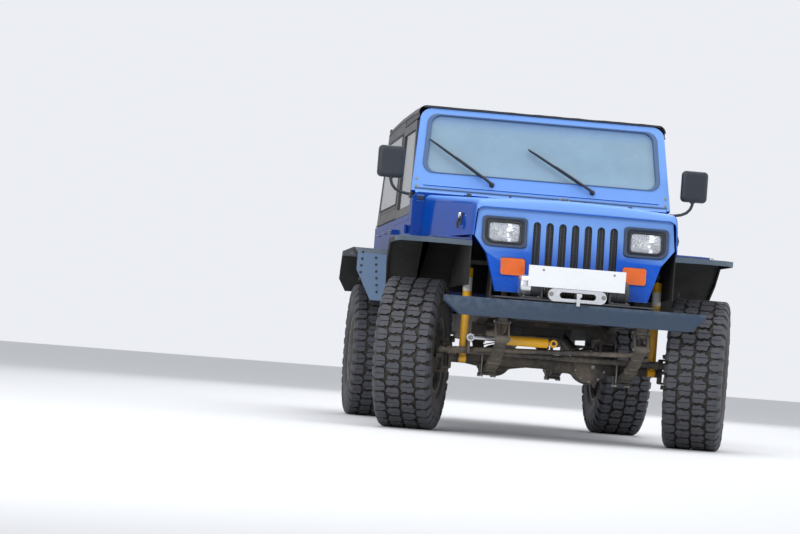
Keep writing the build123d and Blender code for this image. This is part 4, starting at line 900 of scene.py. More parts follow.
def hoodNose():
    # The skin rolls down to the grille, and in at its sides
    roll = hood["nose"]
    curve = [(roll * (1 - cos(radians(t))), roll * (1 - sin(radians(t)))) for t in (88, 68, 48, 28, 10)]
    nose = []
    for drop, behind in [(roll + 0.006, 0.0)] + curve:
        line = []
        rolled = min(1.0, drop / roll)
        for x, z in hoodSection(0.0):
            share = max(0.0, min(1.0, (z - 1.2) / 0.05))
            crown = max(0.0, z - hood["shoulder"][0]) * rolled
            line.append(Vector((x * (1 - 0.018 * rolled), at(hood["front"] + 0.003 + behind),
                                z - drop * share - crown)))
        nose.append(line)
    return nose


def makeHood():
    rows = hoodNose()
    for i in range(1, 27):
        y = hood["front"] + i / 26 * (hood["rear"] - hood["front"])
        rows.append([Vector((x, at(y), z)) for x, z in hoodSection(i / 26)])
    work = Work()
    work.loft(rows, 0, False, False, False)
    skin = rough(work)
    thick = skin.modifiers.new("skin", "SOLIDIFY")
    thick.thickness = hood["skin"]
    thick.offset = 0.0
    done = evaluated(skin)
    # Keep the skin just inside the frame's own box
    for p in done.points:
        p.z -= 0.003
    # Inner ribs under the skin, seen from below
    for x in hood["ribs"]:
        done.block((x, at(0.25), 1.262), (0.05, 0.95, 0.016), 0.004, 0)
    # Hinge leaves at the cowl, rubber stops and nozzles
    for side in (-1, 1):
        hinge, stop, nozzle = spots([hood[k] for k in ("hinge", "stop", "nozzle")], side)
        done.block(hinge, (0.14, 0.036, 0.008), 0.003, 0)
        for k in hood["hingeBolts"]:
            done.bolt((hinge.x + k, at(0.843), 1.355), (0, 0, 1), 0.0065, 0.004, 1)
        done.turned([(0.0, 0.016), (0.01, 0.015), (0.016, 0.01)], stop, (0, 0, 1), 18, 2)
        done.turned([(0.0, 0.009), (0.006, 0.008), (0.01, 0.005)], nozzle, (0, 0, 1), 14, 2)
    # Footman loop in the middle of the hood
    done.block((0.0, at(0.1), 1.3165), (0.075, 0.018, 0.003), 0.001, 1)
    done.tube(spots(hood["loop"]), 0.003, 8, 1)
    done.make("hood.skin", ["bodyPaint", "boltSteel", "mirrorBlack"], "hood", ["hood"], 50.0)


def makeCatches():
    # Side catches: a cup on the hood, a rubber strap and a hook on the fender
    back, z = hood["catch"]
    y = at(back)
    for side, name in ((-1, "right"), (1, "left")):
        catch = Work()
        x = side * (between(hood["half"], 0.22) + 0.001)
        catch.block((x, y, z + 0.012), (0.014, 0.034, 0.066), 0.004, 0)
        catch.turned([(0.0, 0.017), (0.012, 0.017), (0.016, 0.012), (0.017, 0.004)], (x, y, z + 0.03), (side, 0, 0),
                     24, 1)
        catch.tube([(x + side * out, y, z + up) for out, up in ((0.012, 0.012), (0.02, -0.014), (0.016, -0.04))],
                   0.0075, 10, 0)
        catch.make("hood.catch." + name, ["mirrorBlack", "fairleadAlloy"], "hood")


makeHood()
makeCatches()
print("hood made")


# The frame's flat plates keep their form and get rounded edges, rivets and screws

def eased(node, width, steps=2):
    # A copy of a frame node with its flat faces joined and its sharp edges rounded
    work = Work()
    source = nodes[node]
    work.points = [source.matrix_world @ v.co for v in source.data.vertices]
    work.faces = [list(f.vertices) for f in source.data.polygons]
    work.slots = [0] * len(work.faces)
    shape = rough(work)
    weld = shape.modifiers.new("weld", "WELD")
    weld.merge_threshold = 0.0001
    join = shape.modifiers.new("join", "DECIMATE")
    join.decimate_type = "DISSOLVE"
    join.angle_limit = radians(1.0)
    bevel = shape.modifiers.new("ease", "BEVEL")
    bevel.width = width
    bevel.segments = steps
    bevel.limit_method = "ANGLE"
    bevel.angle_limit = radians(34)
    bpy.context.view_layer.update()
    return evaluated(shape)


def makeGrille():
    work = eased("grille", 0.003)
    work.dress("grille.panel", ["grillePaint"], "grille")
    # Radiator core behind the slots: tubes and fins in a dark shroud
    core = Work()
    core.block((0, at(-0.318), 0.995), (0.56, 0.012, 0.37), 0.002, 0)
    for i in range(29):
        core.block((-0.266 + 0.019 * i, at(-0.326), 0.995), (0.003, 0.006, 0.36), 0, 1)
    for i in range(46):
        core.block((0, at(-0.3255), 0.82 + 0.0077 * i), (0.54, 0.004, 0.0012), 0, 1)
    core.make("grille.core", ["mirrorBlack", "coreGrey"], rideOf("grille"))


def roundedCorner(before, here, after, radius, steps):
    # A corner replaced by a curve that leaves and meets the line a radius away from it
    here = Vector(here)
    back, on = Vector(before) - here, Vector(after) - here
    cut = min(radius, 0.45 * back.length, 0.45 * on.length)
    start, end = here + back.normalized() * cut, here + on.normalized() * cut
    return [start.lerp(here, t).lerp(here.lerp(end, t), t) for t in (k / steps for k in range(steps + 1))]


def filleted(points, radius, steps=5):
    # A closed outline with its corners rounded
    return [p for i, here in enumerate(points)
            for p in roundedCorner(points[i - 1], here, points[(i + 1) % len(points)], radius, steps)]


def bent(points, bend=0.06, steps=6):
    # A row of points with its corners rounded
    corners = [p for row in zip(points, points[1:], points[2:]) for p in roundedCorner(*row, bend, steps)]
    return [Vector(points[0])] + corners + [Vector(points[-1])]


# Lamps: their middles (across, back, up), the lean of the face, and the steps of the bezel from its
# outer edge to the glass (half width, half height, how far back)

lamp = {
    "spot": (0.386, -0.3605, 1.095), "lean": -6.2, "glass": (0.0835, 0.0505), "bowl": (0.082, 0.049, 0.06),
    "flutes": 34, "fluteDepth": 0.0009, "pillow": (0.0055, 0.0035),
    "bezelBack": -0.3602, "bezelCorner": 0.24,
    "bezelOutline": [(-1, 1, 0), (1, 1, 0), (1, -0.62, 0), (0.76, -1, 0), (-1, -1, 0)],
    "bezelSteps": [(0.122, 0.083, 0.014), (0.122, 0.083, -0.009), (0.1195, 0.0805, -0.0145),
                   (0.113, 0.0745, -0.016),
                   (0.107, 0.0695, -0.0135), (0.103, 0.0665, -0.0045), (0.096, 0.061, -0.0035),
                   (0.0925, 0.0585, -0.01), (0.0875, 0.054, -0.0108), (0.084, 0.051, -0.008),
                   (0.0835, 0.0505, 0.004)],
    "signal": (0.331, -0.3866, 0.914), "signalRibs": 14, "tailRibs": 9,
}


def lampGlass(middleSpot, lean):
    # Ribbed glass: a shallow pillow with upright flutes
    steps = lamp["flutes"]
    rows = []
    for j in range(13):
        v = -1 + 2 * j / 12
        row = []
        for i in range(steps * 2 + 1):
            u = -1 + 2 * i / (steps * 2)
            edge = min(1.0, (1 - abs(u)) * 8, (1 - abs(v)) * 5)
            flute = lamp["fluteDepth"] * (1 if i % 2 else 0) * (1 if abs(v) < 0.9 else 0)
            y = -lamp["pillow"][0] * edge - lamp["pillow"][1] * (1 - u * u) * (1 - v * v) - flute
            row.append(middleSpot + lean @ Vector((u * lamp["glass"][0], y, v * lamp["glass"][1])))
        rows.append(row)
    work = Work()
    work.loft(rows, 0, False, False, False)
    return work


def lampBowl(middleSpot, lean):
    # Reflector: a rounded square at the glass that turns into an oval behind it, with the bulb inside
    wide, high, deep = lamp["bowl"]
    work = Work()
    rings = []
    for k in range(7):
        t = k / 6
        power = 0.35 + 0.65 * t
        ring = []
        for i in range(40):
            a = 2 * pi * i / 40
            sx = abs(cos(a)) ** power * (1 if cos(a) > 0 else -1)
            sz = abs(sin(a)) ** power * (1 if sin(a) > 0 else -1)
            ring.append(middleSpot + lean @ Vector((
                sx * wide * (1 - 0.72 * t), 0.004 + deep * sin(t * pi / 2), sz * high * (1 - 0.62 * t))))
        rings.append(ring)
    work.loft(rings, 0, True, False, True)
    work.turned([(0.0, 0.004), (0.03, 0.009), (0.036, 0.006)], (middleSpot.x, at(-0.305), middleSpot.z),
                (0, -1, 0), 16, 1)
    return work


def makeFrontLamps():
    lean = turnedAbout("X", radians(lamp["lean"]))
    outline = filleted(lamp["bezelOutline"], lamp["bezelCorner"])
    across, back, up = lamp["spot"]
    rim = Work()
    for side, name in ((-1, "right"), (1, "left")):
        middleSpot = Vector((side * across, at(back), up))
        lampGlass(middleSpot, lean).make(
            "headlamp.glass." + name, ["headGlass"], rideOf("headlamps"), [] if side > 0 else ["headlamps"])
        lampBowl(middleSpot, lean).make("headlamp.bowl." + name, ["reflector", "bulbGlass"], rideOf("headlamps"))
        rimSpot = Vector((side * across, at(lamp["bezelBack"]), up))
        rings = [[rimSpot + lean @ Vector((side * wide * q.x, out, high * q.y)) for q in outline]
                 for wide, high, out in lamp["bezelSteps"]]
        rim.loft(rings[:6], 0, True, False, False)
        rim.loft(rings[5:], 1, True, False, False)
    rim.dress("headlamp.bezels", ["bezelGrey", "mirrorBlack"], "headlamp_bezels", 50.0)


def makeSignals():
    signal = eased("turn_signals", 0.0022)
    across, back, up = lamp["signal"]
    for side in (-1, 1):
        for i in range(lamp["signalRibs"]):
            signal.block((side * across + (-0.052 + 0.008 * i), at(back), up), (0.0028, 0.0018, 0.074), 0.0008, 0)
        for x in (-0.056, 0.056):
            signal.turned([(0.0, 0.0042), (0.0015, 0.0038)], (side * across + x, at(-0.3862), up),
                          (0, -1, 0), 12, 1)
        for z in (0.8695, 0.9585):
            signal.block((side * across, at(-0.3735), z), (0.121, 0.013, 0.004), 0.001, 2)
    signal.dress("signals.lens", ["amberLens", "boltSteel", "mirrorBlack"], "turn_signals")
    tail = eased("tail_lamps", 0.0022)
    low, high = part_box("tail_lamps")
    gap = (high[2] - low[2] - 0.036) / (lamp["tailRibs"] - 1)
    for side in (-1, 1):
        x = side * (abs(high[0]) - 0.045)
        for i in range(lamp["tailRibs"]):
            tail.block((x, high[1] + 0.0004, low[2] + 0.018 + i * gap), (0.062, 0.0018, 0.0028), 0.0008, 0)
    tail.dress("tail.lens", ["redLens"], "tail_lamps")


# The windscreen stands on a leaning plane: across, up its face, and out from it

screen = {
    "foot": (0.947, 1.364), "head": (1.115, 1.867),
    # half width low and high, where it starts and ends up the face, corner
    "gasket": (0.694, 0.676, 0.122, 0.492, 0.062),
    # section of the seal: how far it grows outward from the gasket line, how far it stands out
    "seal": ((0.016, 0.0006), (0.014, 0.0044), (0.003, 0.0056), (-0.01, 0.0035), (-0.013, -0.004), (-0.013, -0.014),
             (0.0, -0.014), (0.016, -0.004)),
    # pressed rib and dark seam along the cowl: up the face, out, half width, radius, finish
    "lines": ((0.04, -0.001, 0.7, 0.0055, 0), (0.016, 0.0005, 0.752, 0.0048, 2)),
    # wipers, from the pivot to the tip
    "wipers": (((-0.297, 0.07), (-0.659, 0.318)), ((0.302, 0.074), (-0.072, 0.306))),
    "outward": (0, -0.94, 0.31),
}


def onScreen(across, up, out):
    (y, z), (topY, topZ) = screen["foot"], screen["head"]
    lean = atan2(topY - y, topZ - z)
    return Vector((across, at(y + up * sin(lean) - out * cos(lean)), z + up * cos(lean) + out * sin(lean)))


def roundedLoop(lowHalf, highHalf, low, high, corner, steps=8):
    # Outline with rounded corners, (across, up)
    points = []
    for cx, cz, start in ((highHalf - corner, high - corner, 0), (-highHalf + corner, high - corner, 90),
                          (-lowHalf + corner, low + corner, 180), (lowHalf - corner, low + corner, 270)):
        for k in range(steps + 1):
            t = radians(start + 90 * k / steps)
            points.append((cx + corner * cos(t), cz + corner * sin(t)))
    return points


def makeScreen():
    shell = eased("windscreen_frame", 0.006, 3)
    for side in (-1, 1):
        for up in (0.03, 0.075):
            shell.bolt(onScreen(side * 0.742, up, 0.0005), screen["outward"], 0.006, 0.003, 1)
    for up, out, half, radius, slot in screen["lines"]:
        shell.tube([onScreen(x, up, out) for x in (-half, 0.0, half)], radius, 8, slot)
    shell.dress("windscreen.shell", ["bodyPaint", "boltSteel", "sealRubber"], "windscreen_frame")
    low, high = screen["gasket"][2:4]
    centre = Vector((0.0, (low + high) / 2))
    rings = []
    for point in roundedLoop(*screen["gasket"]):
        away = (Vector(point) - centre).normalized()
        rings.append([onScreen(*(Vector(point) + away * grow), out) for grow, out in screen["seal"]])
    seal = Work()
    seal.loft(rings + rings[:1], 0, True, False, False)
    seal.make("windscreen.seal", ["sealRubber"], rideOf("windscreen_frame"))
    sweep = Work()
    for foot, tip in screen["wipers"]:
        foot, tip = Vector(foot), Vector(tip)
        # Pivot cap, arm, and the blade with its two bridges
        sweep.turned([(0.0, 0.015), (0.014, 0.014), (0.02, 0.01), (0.022, 0.004)], onScreen(*foot, 0.0),
                     screen["outward"], 20)
        arm = [onScreen(*(foot + (tip - foot) * t), 0.018 + 0.006 * sin(pi * t)) for t in (0.0, 0.15, 0.35, 0.6)]
        sweep.tube(arm, [0.009, 0.0082, 0.007, 0.0058], 10)
        centre = foot + (tip - foot) * 0.6
        reach = 0.44 * (tip - foot)
        for a, b, out, r in ((-0.75, 0.75, 0.0185, 0.0052), (-1.0, -0.5, 0.0135, 0.0042),
                             (0.5, 1.0, 0.0135, 0.0042)):
            sweep.tube([onScreen(*(centre + reach * u), o)
                        for u, o in ((a, out - 0.005), ((a + b) / 2, out), (b, out - 0.005))], r, 6)
        sweep.tube([onScreen(*(centre + reach * u * 0.96), 0.0035) for u in (-1, -0.5, 0, 0.5, 1)], 0.0052, 6)
    sweep.dress("wipers.arms", ["mirrorBlack"], "wipers")


mirror = {
    "spot": (0.902, 0.93, 1.519), "half": (0.078, 0.093), "corner": 0.026,
    # section of the head from its front to the glass: how far back, share of the full outline
    "head": ((-0.0225, 0.7), (-0.021, 0.86), (-0.015, 0.955), (-0.004, 0.995), (0.012, 1.0), (0.0215, 0.985),
             (0.0225, 0.955)),
    "arm": [(0.774, 0.948, 1.338), (0.8, 0.945, 1.341), (0.836, 0.941, 1.348), (0.866, 0.936, 1.362),
            (0.886, 0.932, 1.384), (0.896, 0.93, 1.41), (0.896, 0.93, 1.432)],
}


def makeMirrors():
    work = Work()
    across, back, cz = mirror["spot"]
    wide, high = mirror["half"]
    for side in (-1, 1):
        cx, cy = side * across, at(back)
        rings = []
        for y, grow in mirror["head"]:
            loop = roundedLoop(wide * grow, wide * grow, -high * grow, high * grow, mirror["corner"] * grow)
            rings.append([Vector((cx + u, cy + y, cz + v)) for u, v in loop])
        work.loft(rings)
        pane = [Vector((cx + u, cy + 0.0205, cz + v)) for u, v in roundedLoop(0.07, 0.07, -0.085, 0.085, 0.02)]
        work.add(pane, [list(range(len(pane)))], 1)
        work.tube(spots(mirror["arm"], side), 0.0088, 14)
        work.block((side * 0.773, at(0.952), 1.333), (0.014, 0.044, 0.03), 0.003)
        work.turned([(0.0, 0.014), (0.012, 0.014), (0.016, 0.01)], (side * 0.896, cy, 1.42), (0, 0, 1), 18)
        for y in (0.94, 0.964):
            work.bolt((side * 0.7795, at(y), 1.333), (side, 0, 0), 0.005, 0.003, 2)
    work.dress("mirrors.heads", ["mirrorBlack", "mirrorGlass", "boltSteel"], "mirrors")


makeGrille()
makeFrontLamps()
makeSignals()
makeScreen()
makeMirrors()
print("face made")


# Bumper, winch, fairlead and plate

winch = {
    "drum": (-0.456, 0.814), "radius": 0.043, "half": 0.176, "turns": 26, "rope": 0.0052, "ropeLift": 0.0042,
    # lathe profiles of the round housings, outward from the drum: (along, radius)
    "motor": [(0.0, 0.052), (0.004, 0.062), (0.016, 0.062), (0.018, 0.058), (0.066, 0.058), (0.068, 0.061)],
    "motorEnd": [(0.0, 0.0605), (0.046, 0.0605), (0.054, 0.054), (0.058, 0.038), (0.059, 0.012)],
    "gearbox": [(0.0, 0.052), (0.004, 0.063), (0.018, 0.063), (0.02, 0.057), (0.046, 0.057), (0.048, 0.062),
                (0.06, 0.062), (0.062, 0.056), (0.088, 0.056), (0.09, 0.061), (0.102, 0.061), (0.112, 0.052),
                (0.118, 0.03)],
}


def makeWinch():
    work = Work()
    (back, z), r, half = winch["drum"], winch["radius"], winch["half"]
    y = at(back)
    work.block((0, at(-0.4435), 0.744), (0.876, 0.228, 0.008), 0.002, 0)
    rope = []
    for k in range(winch["turns"] * 16 + 1):
        t = 2 * pi * k / 16
        lay = r + winch["ropeLift"]
        rope.append((-half + 2 * half * k / (winch["turns"] * 16), y + lay * cos(t), z + lay * sin(t)))
    work.tube(rope, winch["rope"], 6, 1)
    work.turned([(0.0, r), (2 * half, r)], (-half, y, z), (1, 0, 0), 24, 0)
    # Motor with its bright end on one side, ribbed gearbox with the clutch lever on the other
    work.turned(winch["motor"], (-half, y, z), (-1, 0, 0), 40, 0)
    work.turned(winch["motorEnd"], (-half - 0.068, y, z), (-1, 0, 0), 40, 2)
    work.turned(winch["gearbox"], (half, y, z), (1, 0, 0), 40, 0)
    for k in range(8):
        t = 2 * pi * k / 8 + 0.2
        work.bolt((-half - 0.1245, y + 0.044 * cos(t), z + 0.044 * sin(t)), (-1, 0, 0), 0.004, 0.003, 1, False)
    lever = half + 0.075
    work.turned([(0.0, 0.013), (0.006, 0.012), (0.008, 0.006)], (lever, y, z + 0.054), (0, 0, 1), 16, 1)
    work.tube([(lever, y, z + 0.058), (half + 0.06, y - 0.036, z + 0.058)], 0.0045, 8, 1)
    work.block((0, at(-0.412), 0.862), (0.352, 0.016, 0.011), 0.003, 0)
    for side in (-1, 1):
        work.block((side * 0.183, y, 0.79), (0.012, 0.124, 0.09), 0.003, 0)
        work.block((side * 0.238, y, 0.7535), (0.11, 0.12, 0.011), 0.003, 0)
        for a in (-0.04, 0.04):
            for b in (-0.045, 0.045):
                work.bolt((side * 0.238 + a, y + b, 0.759), (0, 0, 1), 0.0055, 0.004, 1)
    work.dress("winch.drum", ["winchBlack", "ropeSteel", "fairleadAlloy"], "winch", 40.0)


def makeNose():
    beam = eased("front_bumper", 0.003)
    beam.dress("bumper.beam", ["bumperSlate", "boltSteel"], "front_bumper")
    lead = eased("fairlead", 0.004, 3)
    low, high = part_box("fairlead")
    for side in (-1, 1):
        lead.bolt((side * (high[0] - 0.016), low[1] + 0.04, (low[2] + high[2]) / 2 + 0.012), (0, -1, 0),
                  0.008, 0.006, 1)
    lead.dress("fairlead.lip", ["fairleadAlloy", "boltSteel"], "fairlead")
    plate = eased("number_plate", 0.0015)
    low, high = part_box("number_plate")
    for side in (-1, 1):
        plate.turned([(0.0, 0.0065), (0.0015, 0.006), (0.003, 0.0035)],
                     (side * 0.19, low[1] + 0.0002, high[2] - 0.02), (0, -1, 0), 16, 1)
    plate.dress("plate.blank", ["plateWhite", "boltSteel"], "number_plate")


flare = {
    # the plates that face forward stand this far ahead of the rearmost edge of the flares
    "plateAhead": 2.2115, "litTopAbove": 1.0425, "shadedBelow": 1.005,
    "archScrew": [(0.0, 0.009), (0.0022, 0.0085), (0.004, 0.005)],
    "plateScrew": [(0.0, 0.0085), (0.002, 0.008), (0.0035, 0.005)],
    # rows of screws along the arches: how many, across, first one back, gap, height
    "rows": ((7, 0.775, -0.27, 0.115, 1.0455), (9, 0.786, 1.95, 0.095, 1.044)),
}


def makeFlares():
    work = eased("flares", 0.005, 3)
    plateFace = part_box("flares")[0][1] + flare["plateAhead"]
    # One black plastic in several colours: the lighter forward-facing plates and the lighter top are painted light,
    # and the near-black below is painted shade
    work.repaint(lambda c, n: 2 if abs(n.y) > 0.7 and abs(c.y - plateFace) < 0.005 else
                 3 if c.z > flare["litTopAbove"] else 0 if c.z > flare["shadedBelow"] else 4)
    for side in (-1, 1):
        for count, x, first, gap, z in flare["rows"]:
            for i in range(count):
                work.turned(flare["archScrew"], (side * x, at(first + gap * i), z), (0, 0, 1), 14, 1)
        for i in range(6):
            z = 0.775 + 0.042 * i
            for x, up in ((0.842 + 0.004 * i, 0.0), (0.955 - 0.002 * i, 0.03)):
                work.turned(flare["plateScrew"], (side * x, at(1.8598), z + up), (0, -1, 0), 14, 1)
    work.dress("flares.arches", ["flareBlack", "mirrorBlack", "flarePlate", "flareTop", "archBlack"], "flares")
    panels = eased("front_fenders", 0.002)
    # Painted shelf on top, black coating in the arches
    panels.repaint(lambda c, n: 0 if c.z > 1.043 else 1)
    panels.dress("fenders.panels", ["fenderPaint", "archBlack"], "front_fenders")


makeNose()
makeWinch()
makeFlares()
print("nose and flares made")


# Soft top: one skin of cloth stretched from the windscreen over the bows and down to the belt

top = {
    # places along the car, from the windscreen to the foot of the rear curtain
    "front": 1.108, "doorRear": 1.856, "lastBow": 2.905, "tail": 2.926, "rear": 3.127,
    # heights, and half widths at the roof and the belt with the heights that they hold at
    "belt": 1.234, "overDoor": 1.805, "eave": 1.836, "curtainTop": 1.872, "cornerTop": 1.8,
    "half": 0.7405, "beltHalf": 0.7635, "halfAt": 1.912, "beltHalfAt": 1.226,
    "roof": [(1.108, 1.885), (1.48, 1.8955), (2.15, 1.899), (2.7, 1.889), (2.866, 1.8785), (2.905, 1.866),
             (2.926, 1.836)],
    "bows": [1.13, 1.5, 2.1, 2.86], "corner": 0.046, "under": 0.003,
    # side pane: front, rear at its foot, rear at its head, foot, head; rear pane: half widths, foot, head
    "pane": (1.942, 2.98, 2.868, 1.33, 1.76), "backPane": (0.56, 0.54, 1.33, 1.776),
    "piping": 0.0045,
}


def roofHeight(y):
    line = top["roof"]
    for (y0, z0), (y1, z1) in zip(line, line[1:]):
        if y <= y1:
            return z0 + (z1 - z0) * (y - y0) / (y1 - y0)
    return top["eave"] - (y - top["tail"]) * (top["eave"] - top["belt"]) / (top["rear"] - top["tail"])


def curtainBack(z):
    # The rear curtain leans out as it goes down
    return top["tail"] + (top["eave"] - z) * (top["rear"] - top["tail"]) / (top["eave"] - top["belt"])


def sideHalf(z):
    share = (z - top["beltHalfAt"]) / (top["halfAt"] - top["beltHalfAt"])
    return top["beltHalf"] + (top["half"] - top["beltHalf"]) * share


def clothDip(y, across, side):
    # How far the cloth lies inside its straight line: hollows between the bows and slight pulls
    dip = 0.0
    for a, b in zip(top["bows"], top["bows"][1:]):
        if a < y < b:
            dip = 0.0045 * sin(pi * (y - a) / (b - a)) ** 1.2
    pull = 0.0016 * sin(31 * y + 5 * across) * sin(11 * across + 3 * y) + 0.0009 * sin(73 * y - 19 * across)
    return 0.003 + (dip * (1.0 - abs(across) ** 3) if not side
                    else 0.0025 * sin(pi * min(1.0, abs(across)))) + abs(pull) * 1.2


def addPanel(work, rows, hole=None):
    # Cloth over rows of points; hole says which of its squares are left open
    count = len(rows[0])
    faces = [[r * count + i, r * count + i + 1, (r + 1) * count + i + 1, (r + 1) * count + i]
             for r in range(len(rows) - 1) for i in range(count - 1) if not (hole and hole(r, i))]
    work.add([p for row in rows for p in row], faces)


def addPatch(work, rowCount, count, spot, lay, pane=None):
    # spot gives two measures of a place from its row and column, lay the point of the cloth there, and
    # pane says whether two such measures lie in a window
    rows = [[lay(*spot(r, i), r, i) for i in range(count + 1)] for r in range(rowCount + 1)]
    addPanel(work, rows, pane and (lambda r, i: pane(*spot(r + 0.5, i + 0.5))))


def welded(work):
    shape = rough(work)
    weld = shape.modifiers.new("weld", "WELD")
    weld.merge_threshold = 0.0012
    bpy.context.view_layer.update()
    return evaluated(shape)


def layRoof(cloth, stations):
    # From the header to the rear bow, over both rounded edges
    r = top["corner"]
    rows = []
    for y in stations:
        high = roofHeight(y)
        edge = sideHalf(high - r)
        half = [(edge - r + r * cos(t), high - r + r * sin(t)) for t in (radians(90 * k / 6) for k in range(7))]
        half += [((edge - r) * (1 - k / 30), high) for k in range(1, 30)]
        full = half + [(0.0, high)] + [(-x, z) for x, z in reversed(half)]
        rows.append([Vector((x, at(y), z - clothDip(y, x / edge, False))) for x, z in full])
    addPanel(cloth, rows)


def inSidePane(y, z):
    y0, y1, y2, z0, z1 = top["pane"]
    return y0 < y < y1 + (y2 - y1) * (z - z0) / (z1 - z0) and z0 < z < z1


def layFlank(cloth, side, start, end, low, across, pane=None, count=34):
    # One side between two places along the car, from a height up to the roof's rounded edge
    def spot(row, column):
        y = start + (end - start) * row / count
        return y, low + (roofHeight(y) - top["corner"] - low) * column / across

    def lay(y, z, row, column):
        dip = clothDip(y, (column / across) * 0.999, True) if 0 < column < across else top["under"]
        return Vector((side * (sideHalf(z) - dip), at(y), z - (top["under"] if column == across else 0.0)))
    addPatch(cloth, count, across, spot, lay, pane)


def layCorner(cloth, side):
    # Rear corner of the side, behind the last bow
    def spot(row, column):
        z = top["belt"] + (top["cornerTop"] - top["belt"]) * row / 30
        return top["lastBow"] + (curtainBack(z) - 0.02 - top["lastBow"]) * column / 8, z

    def lay(y, z, row, column):
        return Vector((side * (sideHalf(z) - top["under"]), at(y), z))
    addPatch(cloth, 30, 8, spot, lay, inSidePane)


def layCurtain(cloth):
    # Rear curtain with its own window: places are shares of the half width, and heights
    w0, w1, z0, z1 = top["backPane"]

    def spot(row, column):
        return -1 + 2 * column / 48, top["curtainTop"] + (top["belt"] - top["curtainTop"]) * (row / 44)

    def lay(u, z, row, column):
        share = row / 44
        back = 2.9 if row == 0 else min(curtainBack(z), top["rear"]) if z < top["eave"] else 2.915
        rolled = 0.02 * max(0.0, (abs(u) - 0.97) / 0.03) ** 2
        pulls = 0.0012 * abs(sin(40 * u * share + 3 * share))
        return Vector((u * (sideHalf(z) - top["under"]), at(back) - 0.003 - rolled - pulls, z))

    def window(u, z):
        return z0 < z < z1 and abs(u * sideHalf(z)) < w0 + (w1 - w0) * (z - z0) / (z1 - z0)
    addPatch(cloth, 44, 48, spot, lay, window)


def alongEdges(corners, count):
    # Places at equal steps along the edges of a closed outline
    return [(a0 + (b0 - a0) * k / count, a1 + (b1 - a1) * k / count)
            for (a0, a1), (b0, b1) in zip(corners, corners[1:] + corners[:1]) for k in range(count)]


def makeBows():
    bows = Work()
    for y in top["bows"]:
        high = roofHeight(y) - 0.026
        edge = sideHalf(high - 0.05) - 0.026
        low = 1.62 if y > 1.9 else 1.835
        half = [(edge, low), (edge, high - 0.05), (edge - 0.015, high - 0.015), (edge - 0.05, high)]
        bows.tube([(-x, at(y), z) for x, z in half] + [(x, at(y), z) for x, z in reversed(half)], 0.0115, 10)
    bows.make("softTop.bows", ["rollBarBlack"], rideOf("soft_top"))


def makeTrim(stations):
    # Seams, binding, welts round the panes, zips and belt rail
    trim = Work()
    for side in (-1, 1):
        seam = [(side * (sideHalf(roofHeight(y)) - 0.03), at(y), roofHeight(y) - 0.0085 - clothDip(y, 0.9, False))
                for y in stations[::3]]
        trim.tube(seam, 0.0032, 6)
        y0, y1, y2, z0, z1 = top["pane"]
        for grow, radius, slot in ((0.0, top["piping"], 0), (0.02, 0.0022, 1)):
            ring = []
            for y, z in alongEdges([(y0, z0), (y1, z0), (y2, z1), (y0, z1)], 10):
                y += grow * (-1 if y < y0 + 0.02 else 1 if y > y2 - 0.02 else 0)
                z += grow * (-1 if z < z0 + 0.02 else 1 if z > z1 - 0.02 else 0)
                ring.append((side * (sideHalf(z) - 0.0035), at(y), z))
            trim.tube(ring + ring[:1], radius, 6, slot)
        trim.tube([(side * (top["beltHalf"] - 0.002), at(y), 1.2355) for y in (1.858, 2.3, 2.8, 3.1)], 0.005, 8)
        for line in ([(y, top["overDoor"]) for y in (1.115, 1.4, 1.854)], [(1.857, z) for z in (1.236, 1.5, 1.8)]):
            trim.tube([(side * (sideHalf(z) - top["under"]), at(y), z) for y, z in line], top["piping"], 8)
    w0, w1, z0, z1 = top["backPane"]
    ring = [(x, at(curtainBack(z)) - 0.002, z) for x, z in alongEdges([(-w0, z0), (w0, z0), (w1, z1), (-w1, z1)],
                                                                      8)]
    trim.tube(ring + ring[:1], top["piping"], 6)
    # Header channel along the windscreen
    trim.block((0, at(1.117), 1.874), (1.43, 0.018, 0.012), 0.003, 2)
    trim.make("softTop.trim", ["topBinding", "zipSteel", "mirrorBlack"], rideOf("soft_top"))


def makeTop():
    cloth = Work()
    stations = [top["front"] + (top["lastBow"] - top["front"]) * i / 90 for i in range(91)]
    layRoof(cloth, stations)
    for side in (-1, 1):
        layFlank(cloth, side, top["front"], top["doorRear"], top["overDoor"], 4)
        layFlank(cloth, side, top["doorRear"], top["lastBow"], top["belt"], 30, inSidePane)
        layCorner(cloth, side)
    layCurtain(cloth)
    skin = welded(cloth).dress("softTop.cloth", ["topCloth"], "soft_top", 60.0)
    area = sum(f.area for f in skin.data.polygons)
    round(area / 3.1 + 0.05, 3)
    makeBows()
    makeTrim(stations)


# Body steel: tub, doors and tailgate with their small hardware

fittings = {
    "inside": 0.744, "loopBack": (2.05, 2.45, 2.85), "mountBack": (0.62, 1.1, 1.75, 1.86),
    # tie-down loop: across, along, from its middle
    "loop": ((0.765, -0.022), (0.779, -0.018), (0.781, 0.0), (0.779, 0.018), (0.765, 0.022)),
    "hingeUp": (0.85, 1.136), "hingeBack": (1.045, 1.075, 1.105), "lock": (0.7665, 1.812, 1.105),
    "gateHingeUp": (0.89, 1.146), "gateHingeAcross": (-0.54, -0.5, -0.46),
    "spareHub": (0.0, 3.249, 1.148), "spareNuts": 0.057, "bumperBolts": (-0.6, -0.3, 0.3, 0.6),
}


def tubFinish(c, n):
    # Liner inside, black below, black on the firewall as painted shade in the engine bay, paint elsewhere
    if abs(c.x) < fittings["inside"] and at(0.9) < c.y < at(3.11) and c.z > 0.69:
        return 1
    return 2 if n.z < -0.5 and c.z < 0.75 or n.y < -0.3 and c.y < at(0.9) and abs(c.x) < 0.7 and c.z < 1.2 else 0


